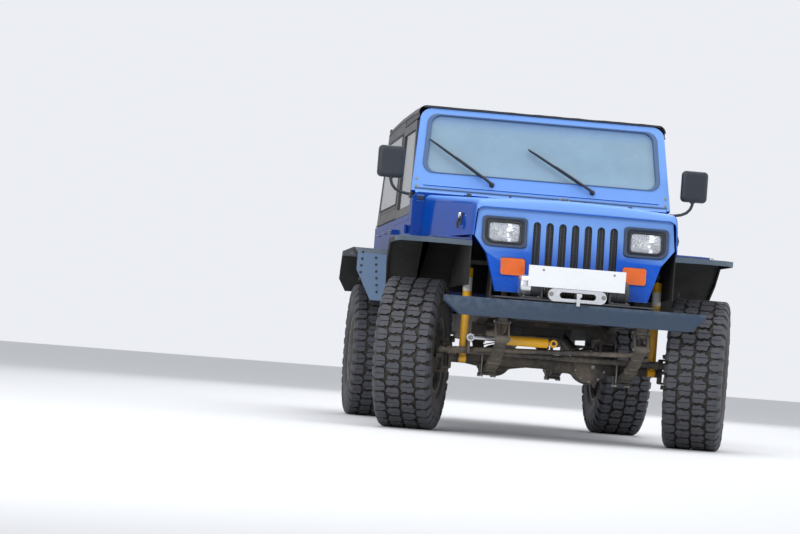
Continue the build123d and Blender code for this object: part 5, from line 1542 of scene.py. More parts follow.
def makeDoor(side, name):
    node = "door_" + name
    door = eased(node, 0.004, 2)
    door.repaint(lambda c, n: 1 if c.z > 1.2275 else 2 if side * c.x < 0.735 else 0)
    for z in fittings["hingeUp"]:
        for y in fittings["hingeBack"]:
            door.bolt((side * 0.7738, at(y), z), (side, 0, 0), 0.006, 0.004, 3)
    # Lock button beside the handle, the paddle under it, and the pressed line under the belt
    x, y, z = fittings["lock"]
    door.turned([(0.0, 0.011), (0.004, 0.01), (0.005, 0.004)], (side * x, at(y), z), (side, 0, 0), 20, 3)
    door.block((side * 0.7935, at(1.764), 1.142), (0.006, 0.07, 0.016), 0.003, 4)
    door.block((side * 0.7662, at(1.43), 1.196), (0.003, 0.78, 0.01), 0.0015, 0)
    door.dress("door.panel." + name, ["bodyPaintRear", "topCloth", "linerGrey", "boltSteel", "mirrorBlack"], node)


def makeBody():
    tub = eased("tub", 0.0045, 2)
    tub.repaint(tubFinish)
    for side in (-1, 1):
        for back in fittings["loopBack"]:
            tub.tube([(side * x, at(back + along), 1.165) for x, along in fittings["loop"]], 0.0032, 8, 4)
        for back in fittings["mountBack"]:
            tub.bolt((side * 0.7655, at(back), 0.69), (side, 0, 0), 0.007, 0.004, 4)
        # Cowl vent in a shallow pressing
        tub.block((side * 0.722, at(0.8735), 1.318), (0.052, 0.004, 0.04), 0.006, 0)
        tub.block((side * 0.722, at(0.8715), 1.318), (0.034, 0.003, 0.024), 0.003, 3)
    tub.dress("tub.shell", ["bodyPaintRear", "linerGrey", "archBlack", "mirrorBlack", "boltSteel"], "tub")
    makeDoor(1, "left")
    makeDoor(-1, "right")
    gate = eased("tailgate", 0.004, 2)
    for z in fittings["gateHingeUp"]:
        for x in fittings["gateHingeAcross"]:
            gate.bolt((x, at(3.1385), z), (0, 1, 0), 0.007, 0.004, 1)
    x, back, z = fittings["spareHub"]
    for k in range(5):
        t = 2 * pi * k / 5
        gate.bolt((x + fittings["spareNuts"] * cos(t), at(back), z + fittings["spareNuts"] * sin(t)), (0, 1, 0),
                  0.01, 0.01, 1, False)
    gate.dress("tailgate.panel", ["bodyPaintRear", "boltSteel"], "tailgate")
    beam = eased("rear_bumper", 0.004, 2)
    for x in fittings["bumperBolts"]:
        beam.bolt((x, at(3.2268), 0.656), (0, 1, 0), 0.009, 0.006, 1)
    beam.dress("rearBumper.beam", ["chassisBlack", "boltSteel"], "rear_bumper")


makeTop()
print("soft top made")
makeBody()
print("body made")


# Running gear: round bars where the frame has flat-sided ones

gear = {
    "axle": place["rearHub"].z, "tube": 0.034, "kingpin": 0.622, "railX": 0.375, "damperY": -0.262,
    "span": 0.5, "arch": 0.152, "leaf": 0.008, "leaves": 5, "leafWidth": 0.064, "rest": -15.0, "arm": 0.14,
    "diff": 0.182,
    # differential casting (along, radius), and its cover (out, inward from the rim)
    "casting": [(-0.098, 0.05), (-0.092, 0.066), (-0.06, 0.094), (-0.01, 0.102), (0.04, 0.099), (0.08, 0.07),
                (0.098, 0.052)],
    "cover": ((0.006, 0.0), (0.007, 0.006), (0.012, 0.016), (0.024, 0.034), (0.03, 0.062)),
    "brake": [(0.0, 0.126), (0.004, 0.132), (0.02, 0.1315), (0.024, 0.128), (0.052, 0.126), (0.058, 0.118),
              (0.0615, 0.06)],
    "damperArm": [(-0.02, 0.016), (-0.02, 0.131), (-0.276, 0.12), (-0.276, 0.092), (-0.06, 0.086),
                  (-0.034, 0.016)],
    # hoses along the axles, (across, back, above the axle)
    "hoses": ([(-0.3, 0.04, 0.036), (-0.1, 0.048, 0.04), (0.06, 0.046, 0.075), (0.16, 0.04, 0.104)],
              [(-0.6, 2.4, 0.037), (-0.3, 2.405, 0.038), (0.0, 2.36, 0.115), (0.3, 2.405, 0.038),
               (0.6, 2.4, 0.037)]),
}


def bar(work, start, end, radius, sides=20, slot=0, ease=0.002):
    # A straight round bar with softened ends, given as (x, back, up)
    a, b = spots([start, end])
    length = (b - a).length
    cut = min(ease, radius * 0.4, length * 0.3)
    work.turned([(0.0, radius - cut), (cut, radius), (length - cut, radius), (length, radius - cut)], a, b - a,
                sides, slot)


def knurl(work, start, end, radius, slot):
    # A hose or boot with rings
    a, b = spots([start, end])
    length = (b - a).length
    count = max(4, int(length / 0.012))
    profile = []
    for k in range(count * 4 + 1):
        profile.append((length * k / (count * 4), radius * (1.0 - 0.12 * (k % 4 in (0, 3)))))
    work.turned(profile, a, b - a, 20, slot)


def makeAxles():
    h, rear, diff = gear["axle"], place["wheelbase"], gear["diff"]
    work = Work()
    end, rearEnd = gear["kingpin"] - 0.03, 0.79 - 0.118
    bar(work, (-end, 0, h), (end, 0, h), gear["tube"], 28)
    bar(work, (-rearEnd, rear, h), (rearEnd, rear, h), gear["tube"], 28)
    # Differential housings: a bellied casting with a bolted cover
    for x, y, facing, cover in ((diff, 0.0, -1, 0.092), (0.0, rear, 1, 0.1)):
        work.turned(gear["casting"], (x, at(y + 0.004), h), (0, 1, 0), 32)
        base, circle = y + facing * 0.07, cover - 0.009
        work.turned([(0.0, cover)] + [(out, cover - inward) for out, inward in gear["cover"]] + [(0.031, 0.004)],
                    (x, at(base), h), (0, facing, 0), 36)
        for i in range(10):
            t = 2 * pi * (i + 0.5) / 10
            work.bolt((x + circle * cos(t), at(base + facing * 0.0065), h + circle * sin(t)), (0, facing, 0),
                      0.0062, 0.006, 1, False)
        work.turned([(0.0, 0.012), (0.006, 0.012)], (x + 0.012, at(base + facing * 0.0302), h - 0.002),
                    (0, facing, 0), 4, 1)
        for side in (-1, 1):
            work.turned([(0.0, 0.062), (0.03, 0.05), (0.1, 0.038), (0.12, 0.036)], (x + side * 0.07, at(y), h),
                        (side, 0, 0), 28)
    # Pinion noses and driveshafts with joints
    bar(work, (diff, 0.06, h + 0.014), (diff, 0.19, h + 0.04), 0.044, 26)
    bar(work, (0, 2.313, h + 0.01), (0, 2.183, h + 0.03), 0.042, 26)
    bar(work, (diff, 0.2, h + 0.043), (diff, 0.868, h + 0.149), 0.0255, 22, 2)
    bar(work, (0, 2.19, h + 0.031), (0, 1.19, h + 0.179), 0.031, 24, 2)
    for x, y, z in ((diff, 0.196, h + 0.042), (0, 2.186, h + 0.032)):
        work.block((x, at(y), z), (0.062, 0.03, 0.062), 0.008)
        bar(work, (x - 0.036, y, z), (x + 0.036, y, z), 0.012, 14, 1)
    # Yokes about the kingpins, brackets, and the rear brakes
    for side in (-1, 1):
        k = gear["kingpin"] * side
        work.block((side * (end - 0.005), at(0), h), (0.018, 0.066, 0.138), 0.006)
        for up, r in ((-1, 0.024), (1, 0.022)):
            z = h + up * 0.064
            work.block((side * (end + 0.013), at(0), z), (0.03, 0.046, 0.0115), 0.004)
            bar(work, (k, 0, z - 0.0058), (k, 0, z + 0.0058), r, 24)
        work.block((side * 0.525, at((-0.066 + 0.023 - 0.02) / 2 + 0.0015), h), (0.042, 0.0205, 0.038), 0.004)
        low, high = rear + 0.02, rear + 0.076 - 0.023
        work.block((side * 0.465, at((low + high) / 2), h - 0.026), (0.042, high - low, 0.03), 0.004)
        work.turned(gear["brake"], (side * (rearEnd - 0.026), at(rear), h), (side, 0, 0), 40)
        bar(work, (side * rearEnd, rear, h), (side * 0.8205, rear, h), 0.034, 28)
    work.loft([[Vector((x, at(y), h + z)) for y, z in gear["damperArm"]] for x in (-0.0375, -0.026)])
    for hose in gear["hoses"]:
        work.tube(spots([(x, y, h + z) for x, y, z in hose]), 0.0035, 8, 1)
    work.dress("axles.housings", ["axleBlack", "boltSteel", "springSteel"], "axles", 40.0)


def makeSprings():
    h = gear["axle"]
    low = h - gear["tube"] - 0.006
    work = Work()
    for y in (0.0, place["wheelbase"]):
        for side in (-1, 1):
            x = side * gear["railX"]
            half = gear["leafWidth"] / 2
            for leaf in range(gear["leaves"]):
                reach = 1.0 - 0.18 * leaf
                rows = []
                for k in range(25):
                    share = reach * (-1 + 2 * k / 24)
                    up = low + gear["arch"] * share * share - leaf * gear["leaf"]
                    tip = 1.0 - 0.25 * (max(0.0, abs(share) / reach - 0.94) / 0.06) if leaf else 1.0
                    w = half * tip
                    yy = at(y + share * gear["span"])
                    t = gear["leaf"] * 0.93
                    rows.append([Vector((x - w, yy, up - 0.001)), Vector((x - w + 0.001, yy, up)),
                                 Vector((x + w - 0.001, yy, up)), Vector((x + w, yy, up - 0.001)),
                                 Vector((x + w, yy, up - t)), Vector((x - w, yy, up - t))])
                work.loft(rows)
            for e in (-1, 1):
                ey, ez = y + e * gear["span"], low + gear["arch"] - 0.004
                bar(work, (x - half, ey, ez), (x + half, ey, ez), 0.0208, 22)
                bar(work, (x - half - 0.001, ey, ez), (x + half + 0.001, ey, ez), 0.011, 16, 1)
                # Rebound clips
                cy = y + e * 0.52 * gear["span"]
                cz = low + gear["arch"] * 0.27
                work.block((x, at(cy), cz - 0.012), (0.07, 0.02, 0.034), 0.003)
            work.block((x, at(y), low - 0.045), (0.088, 0.124, 0.014), 0.003)
            for e in (-1, 1):
                for w in (-1, 1):
                    bx, by = x + w * 0.036, y + e * 0.041
                    bar(work, (bx, by, low - 0.06), (bx, by, h + gear["tube"] + 0.004), 0.0058, 12, 1)
                    work.turned([(0.0, 0.0105), (0.009, 0.0105)], (bx, at(by), low - 0.0605), (0, 0, 1), 6, 1)
                work.tube([(x + a, at(y + e * 0.041), h + gear["tube"] + up)
                           for a, up in ((-0.036, -0.002), (-0.033, 0.006), (0.033, 0.006), (0.036, -0.002))],
                          0.0055, 10, 1)
            front = -1 if y == 0 else 1
            sy = y + front * gear["span"]
            for w in (-1, 1):
                px = x + w * (0.032 + 0.004 - 0.0006)
                loop = []
                for cy, cz, start in ((sy - front * 0.04, low + 0.148 + 0.092, 0), (sy, low + 0.148, 180)):
                    for k in range(9):
                        t = radians(start + 180 * k / 8)
                        loop.append((cy + 0.0165 * cos(t), cz + 0.0155 * sin(t)))
                work.loft([[Vector((px + thick, at(a), b)) for a, b in loop] for thick in (-0.004, 0.004)])
                for cy, cz in ((sy, low + 0.148), (sy - front * 0.04, low + 0.24)):
                    work.bolt((px + w * 0.0035, at(cy), cz), (w, 0, 0), 0.0085, 0.007, 1, False)
    work.dress("springs.leaves", ["springSteel", "boltSteel"], "leaf_springs", 40.0)


shock = {
    # across, back, lower eye, upper end
    "stands": ((0.525, -0.066, 0.418, 0.92), (0.465, 2.449, 0.4, 0.77)), "body": 0.022, "sleeve": 0.0248,
    "damperEye": -0.06, "damperTube": -0.282, "damperUp": 0.106,
    "damper": [(0.0, 0.0125), (0.002, 0.0255), (0.006, 0.0268), (0.225, 0.0268), (0.25, 0.0255), (0.256, 0.012)],
}


def makeShocks():
    work = Work()
    for x, y, low, high in shock["stands"]:
        for side in (-1, 1):
            cx, eye = side * x, low - 0.014
            mid = low + (high - low) * 0.58
            wide, sleeve = shock["body"], shock["sleeve"]
            for start, profile, slot in (
                (low, [(0.0, 0.016), (0.004, 0.0212), (0.012, wide), (mid - low - 0.01, wide), (mid - low, 0.0205)],
                 0),
                (mid, [(0.0, 0.0238), (0.003, sleeve), (high - 0.024 - mid, sleeve), (high - 0.02 - mid, 0.0225)],
                 0),
            ):
                work.turned(profile, (cx, at(y), start), (0, 0, 1), 28, slot)
            work.turned([(0.0, 0.02495), (0.075, 0.02495)], (cx, at(y), mid + (high - mid) * 0.3), (0, 0, 1), 28, 3,
                        False)
            bar(work, (cx, y, high - 0.026), (cx, y, high), 0.0088, 14, 2)
            work.turned([(0.0, 0.014), (0.01, 0.014)], (cx, at(y), high - 0.014), (0, 0, 1), 18, 4)
            bar(work, (cx - 0.02, y, eye), (cx + 0.02, y, eye), 0.0228, 24)
            bar(work, (cx - 0.0195, y, eye), (cx + 0.0202, y, eye), 0.013, 18, 4)
            work.bolt((cx + side * 0.02, at(y), eye), (side, 0, 0), 0.008, 0.006, 2)
    # Steering damper: tube, rod end and the eye on the axle's arm
    x, y, z = shock["damperEye"], gear["damperY"], gear["axle"] + shock["damperUp"]
    work.turned(shock["damper"], (x + shock["damperTube"], at(y), z), (1, 0, 0), 30, 0)
    bar(work, (-0.088, y, z), (-0.078, y, z), 0.009, 14, 0)
    bar(work, (x, y - 0.015, z), (x, y + 0.015, z), 0.0218, 26, 0)
    bar(work, (x, y - 0.0155, z), (x, y + 0.0155, z), 0.012, 18, 4)
    work.block((-0.0785, at(y), z), (0.014, 0.015, 0.015), 0.002, 0)
    work.dress("shocks.bodies", ["shockYellow", "springSteel", "boltSteel", "labelWhite", "mirrorBlack"],
               "shock_absorbers", 40.0)


linkage = {
    "up": 0.032, "rod": 0.0148, "drag": 0.0138, "pitmanEnd": (0.424, -0.19, 0.49), "bracket": -0.478,
    # ball housings, (along, radius)
    "socket": [(-0.019, 0.004), (-0.016, 0.0125), (-0.008, 0.0178), (0.0, 0.019), (0.01, 0.0165), (0.017, 0.01),
               (0.019, 0.003)],
    "ball": [(-0.019, 0.004), (-0.014, 0.014), (0.0, 0.019), (0.014, 0.014), (0.019, 0.004)],
}


def makeSteering():
    # The linkage is drawn straight ahead, then carried to where the frame's has swung
    h, y, damperY = gear["axle"], -gear["arm"], gear["damperY"]
    z, dz = h + linkage["up"], h + shock["damperUp"]
    swing = radians(gear["rest"])
    work = Work()
    for side in (-1, 1):
        k = side * gear["kingpin"]
        work.turned(linkage["socket"], (k, at(y), z), (0, 0, 1), 22)
        bar(work, (k, y, z - 0.024), (k, y, z - 0.004), 0.009, 16, 1)
        knurl(work, (k, y, z - 0.021), (k, y, z - 0.01), 0.0135, 2)
        bar(work, (k - side * 0.096, y, z), (k - side * 0.034, y, z), 0.0205, 20)
        for w in (0.046, 0.084):
            work.block((k - side * w, at(y), z), (0.008, 0.046, 0.046), 0.006)
    bar(work, (-gear["kingpin"], y, z), (gear["kingpin"], y, z), linkage["rod"], 22)
    x, back, up = linkage["pitmanEnd"]
    bar(work, (x, back - gear["arm"], up), (-gear["kingpin"] + 0.074, y - 0.006, z + 0.008), linkage["drag"], 20)
    work.turned(linkage["ball"], (x, at(back - gear["arm"]), up), (0, 0, 1), 22)
    # Bracket on the tie rod that holds the end of the damper
    x = linkage["bracket"]
    work.block((x, at((damperY + 0.026 + y) / 2), (z - 0.01 + dz + 0.02) / 2),
               (0.014, abs(y - damperY - 0.026), dz + 0.03 - z), 0.003)
    bar(work, (x, damperY - 0.044, dz), (x, damperY + 0.03, dz), 0.007, 14, 1)
    bar(work, (x, damperY - 0.05, dz), (x, damperY - 0.038, dz), 0.0128, 6, 1)
    work.moved(Matrix.Translation((gear["arm"] * sin(swing), -gear["arm"] * (cos(swing) - 1), 0)))
    work.dress("tieRod.linkage", ["chassisBlack", "boltSteel", "mirrorBlack"], "tie_rod", 40.0)


exhaust = {
    "across": -0.256, "radius": 0.0255, "silencer": (1.22, 1.56, 0.57, 0.0495), "seams": (1.235, 1.545),
    "clamps": ((1.05, 0.57), (1.75, 0.57), (2.62, 0.621)),
    # (back, up)
    "path": [(0.33, 0.8), (0.33, 0.66), (0.345, 0.606), (0.392, 0.58), (0.46, 0.5735), (0.56, 0.57),
             (1.2, 0.57), (1.88, 0.57), (1.96, 0.58), (2.08, 0.608), (2.17, 0.622), (2.6, 0.622), (2.72, 0.618),
             (3.0, 0.588), (3.088, 0.58)],
}


def makeExhaust():
    work = Work()
    x = exhaust["across"]
    work.tube([(x, at(y), z) for y, z in exhaust["path"]], exhaust["radius"], 20, 0)
    start, end, z, radius = exhaust["silencer"]
    bar(work, (x, start, z), (x, end, z), radius, 32, 0, 0.008)
    for y in exhaust["seams"]:
        work.turned([(-0.004, 0.0498), (0.0, 0.0503), (0.004, 0.0498)], (x, at(y), z), (0, 1, 0), 32, 0)
    for y, z in exhaust["clamps"]:
        work.turned([(-0.01, 0.0278), (0.01, 0.0278)], (x, at(y), z), (0, 1, 0), 20, 1)
        work.bolt((x, at(y), z + 0.028), (0, 0, 1), 0.005, 0.01, 1, False)
    work.turned([(0.0, 0.0262), (0.0, 0.0225), (-0.05, 0.0225)], (x, at(3.0895), 0.5799), (0, 0.995, -0.09), 24, 2,
                False)
    work.dress("exhaust.pipe", ["exhaustSteel", "boltSteel", "archBlack"], "exhaust", 45.0)


# Heavy parts that keep the frame's own form: finish and width of the rounded edges

heavy = {
    "frame": ("chassisBlack", 0.003), "crossmembers": ("chassisBlack", 0.003), "fuel_tank": ("skidBlack", 0.01),
    "engine": ("engineIron", 0.012), "knuckle_left": ("axleBlack", 0.003), "knuckle_right": ("axleBlack", 0.003),
    "pitman_arm": ("chassisBlack", 0.002), "damper_rod": ("fairleadAlloy", 0.0008),
}


def addRailBolts(work):
    for side in (-1, 1):
        for k in range(9):
            work.bolt((side * 0.4008, at(0.7 + 0.19 * k), 0.62), (side, 0, 0), 0.006, 0.004, 1, False, 12)


def addTankStraps(work):
    low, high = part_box("fuel_tank")
    for x in (low[0] + 0.05, high[0] - 0.05):
        work.block((x, at(2.8), low[2] + 0.0015), (0.03, 0.38, 0.003), 0.001, 0)
        for y in (2.655, 2.945):
            work.bolt((x, at(y), low[2] + 0.002), (0, 0, -1), 0.007, 0.004, 1)


def addEngineTrim(work):
    # Sump ribs, a pulley and belt, and the fan behind the radiator
    for k in range(8):
        work.block((-0.01, at(0.06 * k), 0.642), (0.4, 0.01, 0.006), 0.002, 0)
    work.turned([(0.0, 0.075), (0.012, 0.075), (0.016, 0.068), (0.02, 0.074), (0.028, 0.074)],
                (0.0, at(-0.062), 0.74), (0, -1, 0), 32, 1)
    for k in range(7):
        around = turnedAbout("Y", 2 * pi * k / 7)
        work.block(Vector((0, at(-0.15), 0.94)) + around @ Vector((0.105, 0, 0)), (0.14, 0.006, 0.062), 0.002, 0,
                   around @ turnedAbout("Z", radians(24)))
    work.turned([(0.0, 0.04), (0.1, 0.04), (0.11, 0.03)], (0, at(-0.06), 0.94), (0, -1, 0), 26, 1)


def makeChassis():
    extra = {"frame": addRailBolts, "fuel_tank": addTankStraps, "engine": addEngineTrim}
    for node, (coat, width) in heavy.items():
        work = eased(node, width, 3 if width > 0.005 else 2)
        if node in extra:
            extra[node](work)
        work.dress(node + ".eased", [coat, "boltSteel"], node)


makeAxles()
makeSprings()
makeShocks()
makeSteering()
makeExhaust()
makeChassis()
print("running gear made")


# Seats: each cushion is swollen by a short cloth simulation, then sewn with channels and piping

seat = {
    # front seats: middle across, floor, front edge, how far the back leans, its top, half width
    "fronts": (("frontLeft", 0.352), ("frontRight", -0.352)),
    "floor": 0.706, "front": 1.33, "lean": 0.11, "top": 1.56, "half": 0.25,
    "channels": (-0.56, -0.19, 0.19, 0.56), "piping": 0.003,
    # rear bench: floor over the wheel arches, half widths, channels
    "rearFloor": 0.8, "benchHalf": 0.5, "benchBackHalf": 0.49, "benchChannels": (-0.34, -0.17, 0.0, 0.17, 0.34),
    "benchLegs": 0.38,
}


def cushionShape(points, x0, x1, squeeze=0.012):
    # A side outline pushed across, its ends drawn in a little; outline is (back, up)
    cy = sum(p[0] for p in points) / len(points)
    cz = sum(p[1] for p in points) / len(points)
    work = Work()
    rings = []
    for share, draw in ((0.0, 0.88), (0.04, 0.96), (0.5, 1.0), (0.96, 0.96), (1.0, 0.88)):
        x = x0 + squeeze + (x1 - x0 - 2 * squeeze) * share
        ring = []
        for y, z in points:
            length = max(0.001, hypot(y - cy, z - cz))
            k = draw * (1 - squeeze / length)
            ring.append(Vector((x, at(cy + (y - cy) * k), cz + (z - cz) * k)))
        rings.append(ring)
    work.loft(rings)
    return work


def swollen(work, pressure, cap, voxel=0.012):
    # Remeshes the closed form, lets cloth under pressure round it, and caps how far a point may move
    shape = rough(work)
    remesh = shape.modifiers.new("remesh", "REMESH")
    remesh.mode = "VOXEL"
    remesh.voxel_size = voxel
    bpy.context.view_layer.update()
    base = evaluated(shape)
    start = [p.copy() for p in base.points]
    body = rough(base)
    cloth = body.modifiers.new("cloth", "CLOTH")
    for name, value in {"quality": 5, "use_pressure": True, "uniform_pressure_force": pressure,
                        "bending_stiffness": 0.6, "tension_stiffness": 18, "compression_stiffness": 18}.items():
        setattr(cloth.settings, name, value)
    cloth.settings.effector_weights.gravity = 0.0
    cloth.point_cache.frame_start = 1
    cloth.point_cache.frame_end = 16
    for step in range(1, 17):
        scene.frame_set(step)
    done = evaluated(body)
    scene.frame_set(1)
    for i, p in enumerate(done.points):
        away = p - start[i]
        if away.length > cap:
            done.points[i] = start[i] + away.normalized() * cap
    return done


def surfaceLine(tree, starts, direction, lift=0.0005):
    # Drops a row of points onto a form along a direction
    line = []
    for start in starts:
        hit, normal = tree.ray_cast(Vector(start), Vector(direction).normalized())[:2]
        if hit:
            line.append(hit + normal * lift)
    return line


def sewn(work, rows, direction, radii=(seat["piping"],) * 5):
    # Channels: rows of points dropped onto the cushion, each with a cord laid in it
    tree = BVHTree.FromPolygons([p[:] for p in work.points], work.faces)
    for starts, radius in zip(rows, radii):
        line = surfaceLine(tree, starts, direction, -0.0008)
        if len(line) > 3:
            work.tube(line, radius, 6, 1)


def pad(name, work, replacing=(), finishes=("seatCloth", "seatPiping")):
    work.make("seat." + name, finishes, rideOf("seats"), replacing, 60.0)


def makeSeat(name, x):
    floor, y, lean, backTop, half = (seat[k] for k in ("floor", "front", "lean", "top", "half"))
    base = [(0.004, 0.17), (0.014, 0.29), (0.12, 0.3), (0.44, 0.268), (0.48, 0.16), (0.04, 0.142)]
    cushion = swollen(cushionShape([(y + a, floor + b) for a, b in base], x - half, x + half), 3.2, 0.01)
    sewn(cushion, [[(x + share * half, at(y + 0.05 + 0.37 * k / 14), floor + 0.6) for k in range(15)]
                   for share in seat["channels"]], (0, 0, -1))
    pad("cushion." + name, cushion, ["seats"] if name == "frontLeft" else [])
    back = [(y + 0.412, floor + 0.2), (y + 0.446 + lean, backTop - 0.15), (y + 0.47 + lean, backTop - 0.14),
            (y + 0.522 + lean, backTop - 0.15), (y + 0.508, floor + 0.19)]
    rest = swollen(cushionShape(back, x - half + 0.012, x + half - 0.012), 3.2, 0.01)
    low, high = floor + 0.26, backTop - 0.18
    upright = [[(x + share * half, at(y), low + (high - low) * k / 14) for k in range(15)]
               for share in seat["channels"]]
    level = [[(x + half * 0.86 * (-1 + 2 * k / 14), at(y), z) for k in range(15)]
             for z in (floor + 0.4, backTop - 0.21)]
    sewn(rest, upright + level, (0, 1, 0), [seat["piping"]] * 4 + [0.0026] * 2)
    pad("back." + name, rest)
    head = [(y + 0.452 + lean * 0.95, backTop - 0.128), (y + 0.45 + lean, backTop - 0.01),
            (y + 0.526 + lean, backTop - 0.014), (y + 0.524 + lean * 0.95, backTop - 0.128)]
    rest = swollen(cushionShape(head, x - 0.125, x + 0.125, 0.008), 2.6, 0.007, 0.01)
    pad("head." + name, rest, (), ["seatCloth"])
    bolsters = Work()
    bolster = [(y + 0.372, floor + 0.215), (y + 0.414 + lean * 0.66, backTop - 0.165),
               (y + 0.452 + lean * 0.7, backTop - 0.16), (y + 0.44, floor + 0.205)]
    for s in (-1, 1):
        bx = x + s * (half - 0.042)
        piece = swollen(cushionShape(bolster, bx - 0.033, bx + 0.033, 0.006), 2.0, 0.006, 0.01)
        bolsters.add(piece.points, piece.faces, 0)
    pad("bolsters." + name, bolsters, (), ["seatCloth"])


def makeBench():
    rear = seat["rearFloor"]
    for name, outline, half, cap, direction, start in (
        ("bench", [(2.334, rear + 0.122), (2.346, rear + 0.244), (2.44, rear + 0.25), (2.74, rear + 0.224),
                   (2.78, rear + 0.118)], seat["benchHalf"], 0.01, (0, 0, -1),
         lambda x, k: (x, at(2.37 + 0.35 * k / 12), 1.5)),
        ("benchBack", [(2.712, rear + 0.215), (2.8, 1.49), (2.862, 1.486), (2.8, rear + 0.165)],
         seat["benchBackHalf"], 0.009, (0, 1, 0), lambda x, k: (x, at(2.5), 1.06 + 0.38 * k / 12)),
    ):
        work = swollen(cushionShape(outline, -half, half), 3.0, cap, 0.014)
        sewn(work, [[start(x, k) for k in range(13)] for x in seat["benchChannels"]], direction)
        pad(name, work)


def makeSeatFrames():
    # Runners, pans, recliners and the posts of the head rests
    floor = seat["floor"]
    work = Work()
    for x in (-0.352, 0.352):
        for s in (-1, 1):
            rx = x + s * 0.16
            work.block((rx, at(1.585), floor + 0.016), (0.03, 0.43, 0.032), 0.004, 0)
            for y in (1.4, 1.76):
                work.block((rx, at(y), floor + 0.085), (0.024, 0.046, 0.12), 0.004, 0)
                work.bolt((rx, at(y + 0.03), floor + 0.033), (0, 0, 1), 0.006, 0.004, 1)
        work.block((x, at(1.575), floor + 0.146), (0.44, 0.42, 0.012), 0.004, 0)
        for s in (-1, 1):
            work.turned([(0.0, 0.034), (0.008, 0.034), (0.012, 0.028)], (x + s * 0.234, at(1.8), floor + 0.205),
                        (s, 0, 0), 24, 2)
        work.tube([(x + a, at(y), floor + z) for a, y, z in (
            (-0.05, 1.392, 0.12), (-0.05, 1.345, 0.1), (0.05, 1.345, 0.1), (0.05, 1.392, 0.12))], 0.005, 8, 0)
        for s in (-1, 1):
            work.tube([(x + s * 0.055, at(1.93), 1.395), (x + s * 0.055, at(1.94), 1.455)], 0.0055, 8, 1)
    for side in (-1, 1):
        work.block((side * seat["benchLegs"], at(2.57), seat["rearFloor"] + 0.065), (0.036, 0.33, 0.12), 0.006, 0)
    work.make("seat.frames", ["rollBarBlack", "boltSteel", "mirrorBlack"], rideOf("seats"))


def makeSeats():
    for name, x in seat["fronts"]:
        makeSeat(name, x)
    makeBench()
    makeSeatFrames()


cage = {
    "bar": 0.0255, "well": 1.022, "hoopBack": 1.955,
    # half of the hoop, (across, up), without its foot; the stays and the side bars, (across, back, up)
    "hoop": [(-0.64, 1.7), (-0.56, 1.812), (0.56, 1.812), (0.64, 1.7)],
    "stay": [(0.56, 1.98, 1.78), (0.61, 2.38, 1.56), (0.61, 2.79, 1.056)],
    "rail": [(0.6, 1.94, 1.796), (0.64, 1.5, 1.806), (0.64, 1.2, 1.79)],
    "foam": [(0.617, 1.8, 1.8005), (0.637, 1.52, 1.8055), (0.64, 1.26, 1.7945)],
    # feet: across, back, length of the plate
    "feet": ((0.64, 1.955, 0.108), (0.61, 2.776, 0.094)),
}


def makeCage():
    r, well = cage["bar"], cage["well"]
    work = Work()
    hoop = [(x, at(cage["hoopBack"]), z) for x, z in [(-0.64, well + 0.014)] + cage["hoop"]
            + [(0.64, well + 0.014)]]
    work.tube(bent(hoop, 0.075), r, 20)
    for side in (-1, 1):
        for line in (cage["stay"], cage["rail"]):
            work.tube(bent(spots(line, side), 0.09), r, 18)
        for x, y, long in cage["feet"]:
            work.block((side * x, at(y), well + 0.019), (0.12, long, 0.0095), 0.002)
            for a in (-0.045, 0.045):
                for b in (-0.032, 0.032):
                    work.bolt((side * x + a, at(y) + b, well + 0.0235), (0, 0, 1), 0.006, 0.004, 1)
        work.tube(spots(cage["foam"], side), 0.026, 16, 2)
    bar(work, (-0.64, 1.216, 1.79), (0.64, 1.216, 1.79), 0.0215, 18)
    work.dress("cage.tubes", ["rollBarBlack", "boltSteel", "topBinding"], "roll_bar", 40.0)


dash = {
    # gauges: across, radius, up
    "gauges": ((0.29, 0.04, 1.322), (0.385, 0.04, 1.322), (0.465, 0.024, 1.336), (0.465, 0.02, 1.3)),
    "face": 1.15, "vents": (-0.6, -0.12, 0.12, 0.6),
    "grab": [(-0.56, 1.121, 1.285), (-0.56, 1.16, 1.29), (-0.2, 1.16, 1.29), (-0.2, 1.121, 1.285)],
    "column": ((0.37, 1.11, 1.204), (0.37, 1.282, 1.264)),
    "stalk": ((0.02, 1.262, 1.258), (0.1, 1.27, 1.272), (0.135, 1.272, 1.284)),
}
helm = {
    "centre": (0.37, 1.318, 1.276), "axis": (0, 0.19, 0.066), "radius": 0.188, "grip": 0.0122,
    "spokes": (-90, 30, 150),
    # a spoke from the hub to the rim: reach, half width, drop
    "spoke": ((0.03, 0.026, 0.004), (0.08, 0.018, 0.004), (0.14, 0.015, 0.001), (0.182, 0.017, 0.0)),
    "hub": [(-0.014, 0.04), (-0.012, 0.05), (0.008, 0.051), (0.013, 0.046), (0.0145, 0.02)],
}
controls = {
    # levers: across, back, top, how far they lean
    "levers": ((0.03, 1.3, 0.985, 0.03), (0.125, 1.345, 0.9, 0.02)), "pedals": (0.27, 0.37, 0.47),
    "boot": [(0.0, 0.052), (0.012, 0.046), (0.024, 0.03), (0.044, 0.018), (0.05, 0.01)],
    "knob": [(-0.022, 0.008), (-0.016, 0.017), (0.0, 0.022), (0.014, 0.018), (0.02, 0.008)],
}


